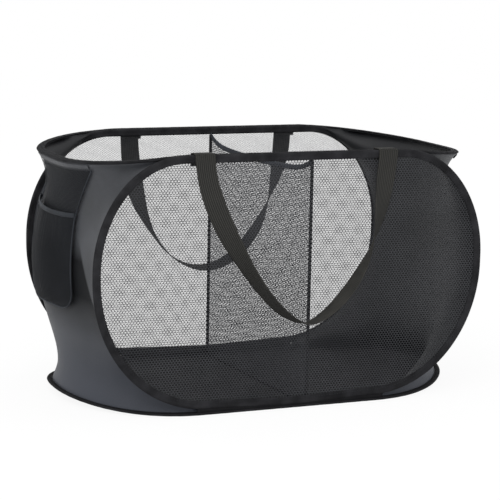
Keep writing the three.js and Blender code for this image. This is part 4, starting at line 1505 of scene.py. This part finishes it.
@dataclass
class Pocket:
    """Net pocket on the left end: a flat back, a front that bags out, a bound mouth and piping."""

    end: EndCloth
    front_net: Net = field(default_factory=lambda: Net(2.6 * MM, 1.9 * MM, 0.22))
    back_net: Net = field(default_factory=lambda: Net(2.6 * MM, 1.9 * MM, 0.34))
    head_first: float = 0.22
    first: float = 0.31
    lean_down: float = 0.24
    lean_power: float = 1.2
    last: float = 0.79
    head: float = 0.03
    mouth: float = 0.25
    foot: float = 0.615
    swing: float = 3 * MM
    bulge: float = 4.5 * MM
    corner: float = 0.22
    hem_width: float = 7 * MM
    hem_thickness: float = 2.6 * MM
    piping: float = 1.2 * MM
    stand_off: float = 2.1 * MM
    layer: float = 2.05 * MM
    mouth_lift: float = 0.003
    join: float = 0.02
    corner_steps: int = 12
    lean_steps: int = 24
    mouth_steps: int = 80
    edge_steps: int = 220
    mouth_swell: Swell = Swell(0.07, 12 * MM, 0.4)
    stitch_level: float = 0.95
    stitch_down: float = 0.4
    edge_stitches: Stitches = Stitches(2.2 * MM, 1.8 * MM, 0.6 * MM)
    edge_stitch_place: float = 2.2

    def front_edge(self, down: Array) -> Array:
        """Where the front edge lies round the end, nearer to the front panel at the rim."""
        lean = np.maximum(0, 1 - np.asarray(down) / self.lean_down) ** self.lean_power
        return self.first + (self.head_first - self.first) * lean

    def rise(self, down: Array, along: Array, front: bool) -> Array:
        """Measures how far one of the pocket's nets stands off the end.

        Args:
            down, along: shares of the end's height and run.
            front: the front net and not the back one.
        Returns:
            The distance from the end's outer face.
        """
        back = self.stand_off + self.swing * down
        if not front:
            return back
        first = self.front_edge(down)
        s = np.clip((along - first) / (self.last - first), 0, 1)
        t = np.clip((down - self.mouth) / (self.foot - self.mouth), 0, 1)
        bag = np.sqrt(np.sin(math.pi * s)) * np.cos(math.pi / 2 * t ** 3)
        return back + self.layer + self.bulge * np.maximum(0, bag)

    def outline(self, top: float) -> Array:
        """Draws the outline with its rounded foot.

        Args:
            top: share of the end's height where it starts.
        Returns:
            The points, in shares of the end's run and height.
        """
        turn = np.linspace(0, math.pi / 2, self.corner_steps)
        wide, tall = self.corner * (self.last - self.first), self.corner * (self.foot - self.mouth)
        right = [self.last - wide + wide * np.cos(turn), self.foot - tall + tall * np.sin(turn)]
        left = [self.first + wide - wide * np.sin(turn), self.foot - tall + tall * np.cos(turn)]
        right, left = np.stack(right, axis=1), np.stack(left, axis=1)
        up = np.linspace(left[-1, 1], top, self.lean_steps)[1:]
        lean = np.stack([self.front_edge(up), up], axis=1)
        return np.concatenate([lean[-1:], [[self.last, top]], right, left, lean[:-1]])

    def build(self) -> None:
        """Makes the two nets, the mouth and the piping."""
        grid = self.end.grid
        wide = run_lengths(grid[self.end.rows // 3])[-1]
        tall = run_lengths(grid[:, self.end.columns // 2])[-1]
        scale = np.array([wide, tall])
        for name, net, top, front in (("back", self.back_net, self.head, False),
                                      ("front", self.front_net, self.mouth, True)):
            edge = self.outline(top) * scale

            def lay(flat: Array, front: bool = front) -> Array:
                """Places the net on the end."""
                along, down = flat[:, 0] / wide, flat[:, 1] / tall
                return self.end.at(down, along, self.rise(down, along, front))

            piece = net.patch(edge, lay).to_object(f"pocket_{name}_net", Finish.FINE_NET, False)
            FoldAway.TO_RIM.carry(piece)
            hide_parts(f"pocket_{name}_mesh")
        self.build_mouth()
        self.build_piping()

    def build_mouth(self) -> None:
        """Makes the bound mouth with its stitching."""
        along = np.linspace(self.first, self.last, self.mouth_steps)
        down = self.mouth - self.mouth_lift
        spots, out = self.end.raised(down, along, self.rise(down, along, True))
        course = unit(np.gradient(spots, axis=0))
        up = unit(np.cross(out, course))
        up *= np.sign(up[len(up) // 2, 2])
        half, face = self.hem_width / 2, self.hem_thickness / 2
        contour = rounded(half, face, 14, v_power=0.7)
        swell = self.mouth_swell.factors(spots)
        hem = sweep(spots, up, out, contour, swell=swell).to_object("pocket_mouth", Finish.POCKET_HEM)
        FoldAway.TO_RIM.carry(hem)
        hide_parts("pocket_mouth_hem")
        line = spots + out * self.stitch_level * face - up * self.stitch_down * half
        thread = Stitches().patch(line, out)
        row = thread.to_object("pocket_mouth_stitches", Finish.STITCH, False)
        FoldAway.TO_RIM.carry(row)

    def build_piping(self) -> None:
        """Makes the piping from the rim down one side, round the foot and up the other."""
        edge = self.outline(self.head)
        loop = resampled(np.concatenate([edge[1:], edge[:1]]), self.edge_steps)
        along, down = loop[:, 0], loop[:, 1]
        reach = np.clip((down - self.mouth + self.join) / (2 * self.join), 0, 1)
        rise = self.rise(down, along, False) * (1 - reach) + self.rise(down, along, True) * reach
        spots, out = self.end.raised(down, along, rise)
        course = unit(np.gradient(spots, axis=0))
        wide = unit(np.cross(course, out))
        deep = np.cross(wide, course)
        contour = rounded(self.piping, self.piping, 10)
        cord = sweep(spots, wide, deep, contour).to_object("pocket_piped_edge", Finish.POCKET_HEM)
        FoldAway.TO_RIM.carry(cord)
        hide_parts("pocket_piping")
        rows = self.edge_stitches.patch(spots + wide * self.edge_stitch_place * self.piping, out)
        thread = rows.to_object("pocket_edge_stitches", Finish.STITCH, False)
        FoldAway.TO_RIM.carry(thread)


# Handles

@dataclass
class Handle:
    """Webbing handle that hangs in a bow and turns edge on towards the bottom of it."""

    label: str
    side: int
    half_span: float
    drop: float
    bow_power: float
    hang: float
    top: float
    left_turn: float
    right_turn: float
    sway: float = 0.0
    width: float = 30 * MM
    thickness: float = 1.4 * MM
    stand_off: float = 4 * MM
    straight_share: float = 0.08
    twist_share: float = 0.82
    steps: int = 240
    cup: float = 0.5 * MM
    selvedge_share: float = 0.45
    selvedge_power: int = 8
    columns: int = 11
    end_steps: int = 40
    end_height: float = 12 * MM

    def frames(self) -> tuple[Array, Array, Array]:
        """Hangs and twists the webbing.

        Returns:
            Points of its middle, and its two cross directions there.
        """
        turn = np.linspace(0, math.pi, self.steps + 1)
        cos, sin = np.cos(turn), np.maximum(0, np.sin(turn))
        across = -np.sign(cos) * np.abs(cos) ** (2 / self.bow_power)
        down = sin ** (2 / self.bow_power)
        share = np.clip((down - self.straight_share) / (1 - self.straight_share) / self.twist_share, 0, 1)
        twist = share ** 2 * (3 - 2 * share)
        over = np.clip(across + 0.5, 0, 1)
        over = over ** 2 * (3 - 2 * over)
        turned = twist * np.radians(self.left_turn + (self.right_turn - self.left_turn) * over)
        bow = BODY.outer + self.stand_off + self.width / 2
        depth = self.hang + (bow - self.hang) * np.sin(np.minimum(turned, math.pi / 2))
        x = self.half_span * across + self.sway * twist
        spots = np.stack([x, self.side * depth, self.top - self.drop * down], axis=1)
        course = np.gradient(spots, axis=0)
        course[0], course[-1] = (0, 0, -1), (0, 0, 1)
        course = unit(course)
        flat = unit(np.cross([0, self.side, 0], course))
        deep = unit(np.cross(course, flat))
        wide = flat * np.cos(turned)[:, None] + deep * np.sin(turned)[:, None]
        return spots, wide, unit(np.cross(course, wide))

    def contour(self) -> Array:
        """Draws the webbing's section, a little cupped, with rounded selvedges.

        Returns:
            The (u, v) points.
        """
        half, face = self.width / 2, self.thickness / 2
        u = np.linspace(-1, 1, self.columns)
        cup = self.cup * (u ** 2 - 0.5)
        tall = face * (1 - self.selvedge_share * u ** self.selvedge_power)
        upper = np.stack([u * half, cup + tall], axis=1)
        lower = np.stack([u * half, cup - tall], axis=1)
        return np.concatenate([upper, lower[::-1]])

    def build(self) -> None:
        """Makes the webbing and its sewn ends."""
        strap = sweep(*self.frames(), self.contour()).to_object(f"{self.label}_webbing", Finish.WEBBING)
        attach(strap, self.label)
        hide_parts(f"{self.label}_strap")
        for name, sign in (("left", -1), ("right", 1)):
            self.build_end(name, sign)

    def end_path(self) -> Array:
        """Traces a sewn end.

        Returns:
            Its path, as depth outwards from the middle of the hamper and height.
        """
        raise NotImplementedError

    def build_end(self, name: str, sign: int) -> None:
        """Makes one sewn end.

        Args:
            name: left or right.
            sign: -1 for left and 1 for right.
        """
        line = resampled(self.end_path(), self.end_steps)
        x = sign * self.half_span
        spots = np.stack([np.full(len(line), x), self.side * line[:, 0], line[:, 1]], axis=1)
        course = unit(np.gradient(spots, axis=0))
        wide = np.tile([1.0, 0.0, 0.0], (len(spots), 1))
        thick = unit(np.cross(course, wide))
        half, face = self.width / 2, self.thickness / 2
        lower = [(-half, -0.5 * face), (-0.9 * half, -face), (0.9 * half, -face), (half, -0.5 * face)]
        contour = np.array(lower + [(-u, -v) for u, v in lower])
        tab = sweep(spots, wide, thick, contour)
        piece = tab.to_object(f"{self.label}_{name}_tab", Finish.WEBBING)
        panel = "front_panel" if self.side < 0 else "back_panel"
        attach(piece, panel)
        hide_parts(f"{self.label}_{name}_end")


@dataclass
class FrontHandle(Handle):
    """Handle on the front panel, whose ends wrap over the rim."""

    label: str = "front_handle"
    side: int = -1
    half_span: float = 145 * MM
    drop: float = 251 * MM
    bow_power: float = 1.6
    left_turn: float = 69.0
    right_turn: float = 98.0
    sway: float = 12 * MM
    hang: float = 182.7 * MM
    top: float = 382.4 * MM
    over: float = 0.4 * MM
    behind: float = 1.5 * MM
    behind_height: float = 18 * MM
    bend_down: float = 1.2 * MM
    bend_in: float = 1.0 * MM

    def end_path(self) -> Array:
        """Traces a sewn end up the panel's outer face, over both bindings and down behind the rim.

        Returns:
            Its path.
        """
        outer = BODY.outer + BODY.sewn + self.thickness / 2
        inner = BODY.plane - BODY.half_thick - BODY.tape.width - self.behind
        crown, bend = BODY.head + self.over + self.thickness / 2, BODY.head - self.bend_down
        return np.array([(outer, BODY.head - self.end_height), (outer, bend), (outer - self.bend_in, crown),
                         (inner + self.bend_in, crown), (inner, bend),
                         (inner, BODY.head - self.behind_height)])


@dataclass
class BackHandle(Handle):
    """Handle on the back panel, whose ends reach out below the rim."""

    label: str = "back_handle"
    side: int = 1
    half_span: float = 134 * MM
    drop: float = 232 * MM
    bow_power: float = 2.0
    left_turn: float = 95.0
    right_turn: float = 103.0
    hang: float = 193.6 * MM
    top: float = 376.7 * MM
    bend: float = 0.8 * MM

    def end_path(self) -> Array:
        """Traces a sewn end up the panel's outer face and out below the rim to the webbing.

        Returns:
            Its path.
        """
        inner = BODY.outer + BODY.sewn + self.thickness / 2
        top = BODY.head - BODY.tape.thickness - BODY.sewn - self.thickness / 2
        foot = top + self.thickness / 2 - self.end_height
        return np.array([(inner, foot), (inner, top - self.bend), (inner + self.bend, top),
                         (self.hang - self.thickness / 2 - BODY.sewn, top)])


# Stage

@dataclass
class Studio:
    """Camera, lights and a white floor."""

    eye: tuple[float, float, float] = (-1.0362, -2.5232, 0.6848)
    yaw: float = 0.390
    pitch: float = 0.173
    roll: float = 0.020
    lens: float = 127.85
    sky: float = 0.85
    key_power: float = 30.0
    key_place: tuple[float, float, float] = (-1.4, -2.2, 2.8)
    key_size: float = 2.2
    aim_height: float = 0.15
    ground_size: float = 12
    ground_tone: float = 0.85
    ground_light: float = 1.04
    view_reach: float = 50
    glow: float = 0.87

    def build_camera(self) -> None:
        """Makes the camera."""
        level = math.cos(self.pitch)
        ahead = Vector((math.sin(self.yaw) * level, math.cos(self.yaw) * level, -math.sin(self.pitch)))
        right = Vector((math.cos(self.yaw), -math.sin(self.yaw), 0))
        up = right.cross(ahead)
        rolled_right = right * math.cos(self.roll) + up * math.sin(self.roll)
        rolled_up = up * math.cos(self.roll) - right * math.sin(self.roll)
        camera = bpy.data.objects.new("camera", bpy.data.cameras.new("camera"))
        bpy.context.scene.collection.objects.link(camera)
        camera.data.lens = self.lens
        camera.data.clip_end = self.view_reach
        turned = Matrix((rolled_right, rolled_up, -ahead)).transposed().to_4x4()
        camera.matrix_world = Matrix.Translation(self.eye) @ turned
        bpy.context.scene.camera = camera

    def build_lights(self) -> None:
        """Makes a white surround that lights evenly, and one soft light from the front left."""
        world = bpy.data.worlds.new("white_surround")
        bpy.context.scene.world = world
        world.use_nodes = True
        tree = world.node_tree
        tree.nodes.clear()
        rays = tree.nodes.new("ShaderNodeLightPath")
        lit = tree.nodes.new("ShaderNodeBackground")
        lit.inputs["Strength"].default_value = self.sky
        seen = tree.nodes.new("ShaderNodeBackground")
        for ground in (lit, seen):
            ground.inputs["Color"].default_value = (1, 1, 1, 1)
        mix = tree.nodes.new("ShaderNodeMixShader")
        output = tree.nodes.new("ShaderNodeOutputWorld")
        tree.links.new(rays.outputs["Is Camera Ray"], mix.inputs[0])
        tree.links.new(lit.outputs[0], mix.inputs[1])
        tree.links.new(seen.outputs[0], mix.inputs[2])
        tree.links.new(mix.outputs[0], output.inputs["Surface"])
        light = bpy.data.lights.new("key", "AREA")
        light.energy, light.size = self.key_power, self.key_size
        key = bpy.data.objects.new("key", light)
        bpy.context.scene.collection.objects.link(key)
        key.location = self.key_place
        aim = Vector((0, 0, self.aim_height)) - key.location
        key.rotation_euler = aim.to_track_quat("-Z", "Y").to_euler()

    def build_floor(self) -> None:
        """Makes the white floor, which keeps a faint shadow."""
        bpy.ops.mesh.primitive_plane_add(size=self.ground_size, location=(0, 0, 0))
        ground = bpy.context.object
        ground.name = "floor"
        g = Graph("white_floor")
        rays = g.node("LightPath").outputs["Is Camera Ray"]
        soft = g.node("BsdfDiffuse", {"Color": (*[self.ground_tone] * 3, 1)})
        bright = g.node("Emission", {"Color": (1, 1, 1, 1), "Strength": self.ground_light})
        share = g.math("MULTIPLY", rays, self.glow)
        mixed = g.node("MixShader", {0: share, 1: soft.outputs[0], 2: bright.outputs[0]})
        ground.data.materials.append(g.finish(mixed.outputs[0]))

    def build(self) -> None:
        """Makes the whole stage."""
        bpy.context.scene.view_settings.view_transform = "Standard"
        self.build_camera()
        self.build_lights()
        self.build_floor()


def main() -> None:
    """Builds the stage and the hamper, in order."""
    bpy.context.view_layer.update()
    bpy.ops.object.select_all(action="DESELECT")
    Studio().build()
    for loop in Loop:
        bound = BoundLoop(loop)
        bound.build()
        bound.dress()
    NetPanel(Loop.FRONT).build()
    NetPanel(Loop.BACK, Net(across=2.5 * MM, row=1.75 * MM, open_share=0.6), halved=True).build()
    Floor().build()
    ends = [EndCloth(-1), EndCloth(1)]
    for end in ends:
        end.build()
    Divider().build()
    Pocket(ends[0]).build()
    for handle in (FrontHandle(), BackHandle()):
        handle.build()


if __name__ == "__main__":
    main()
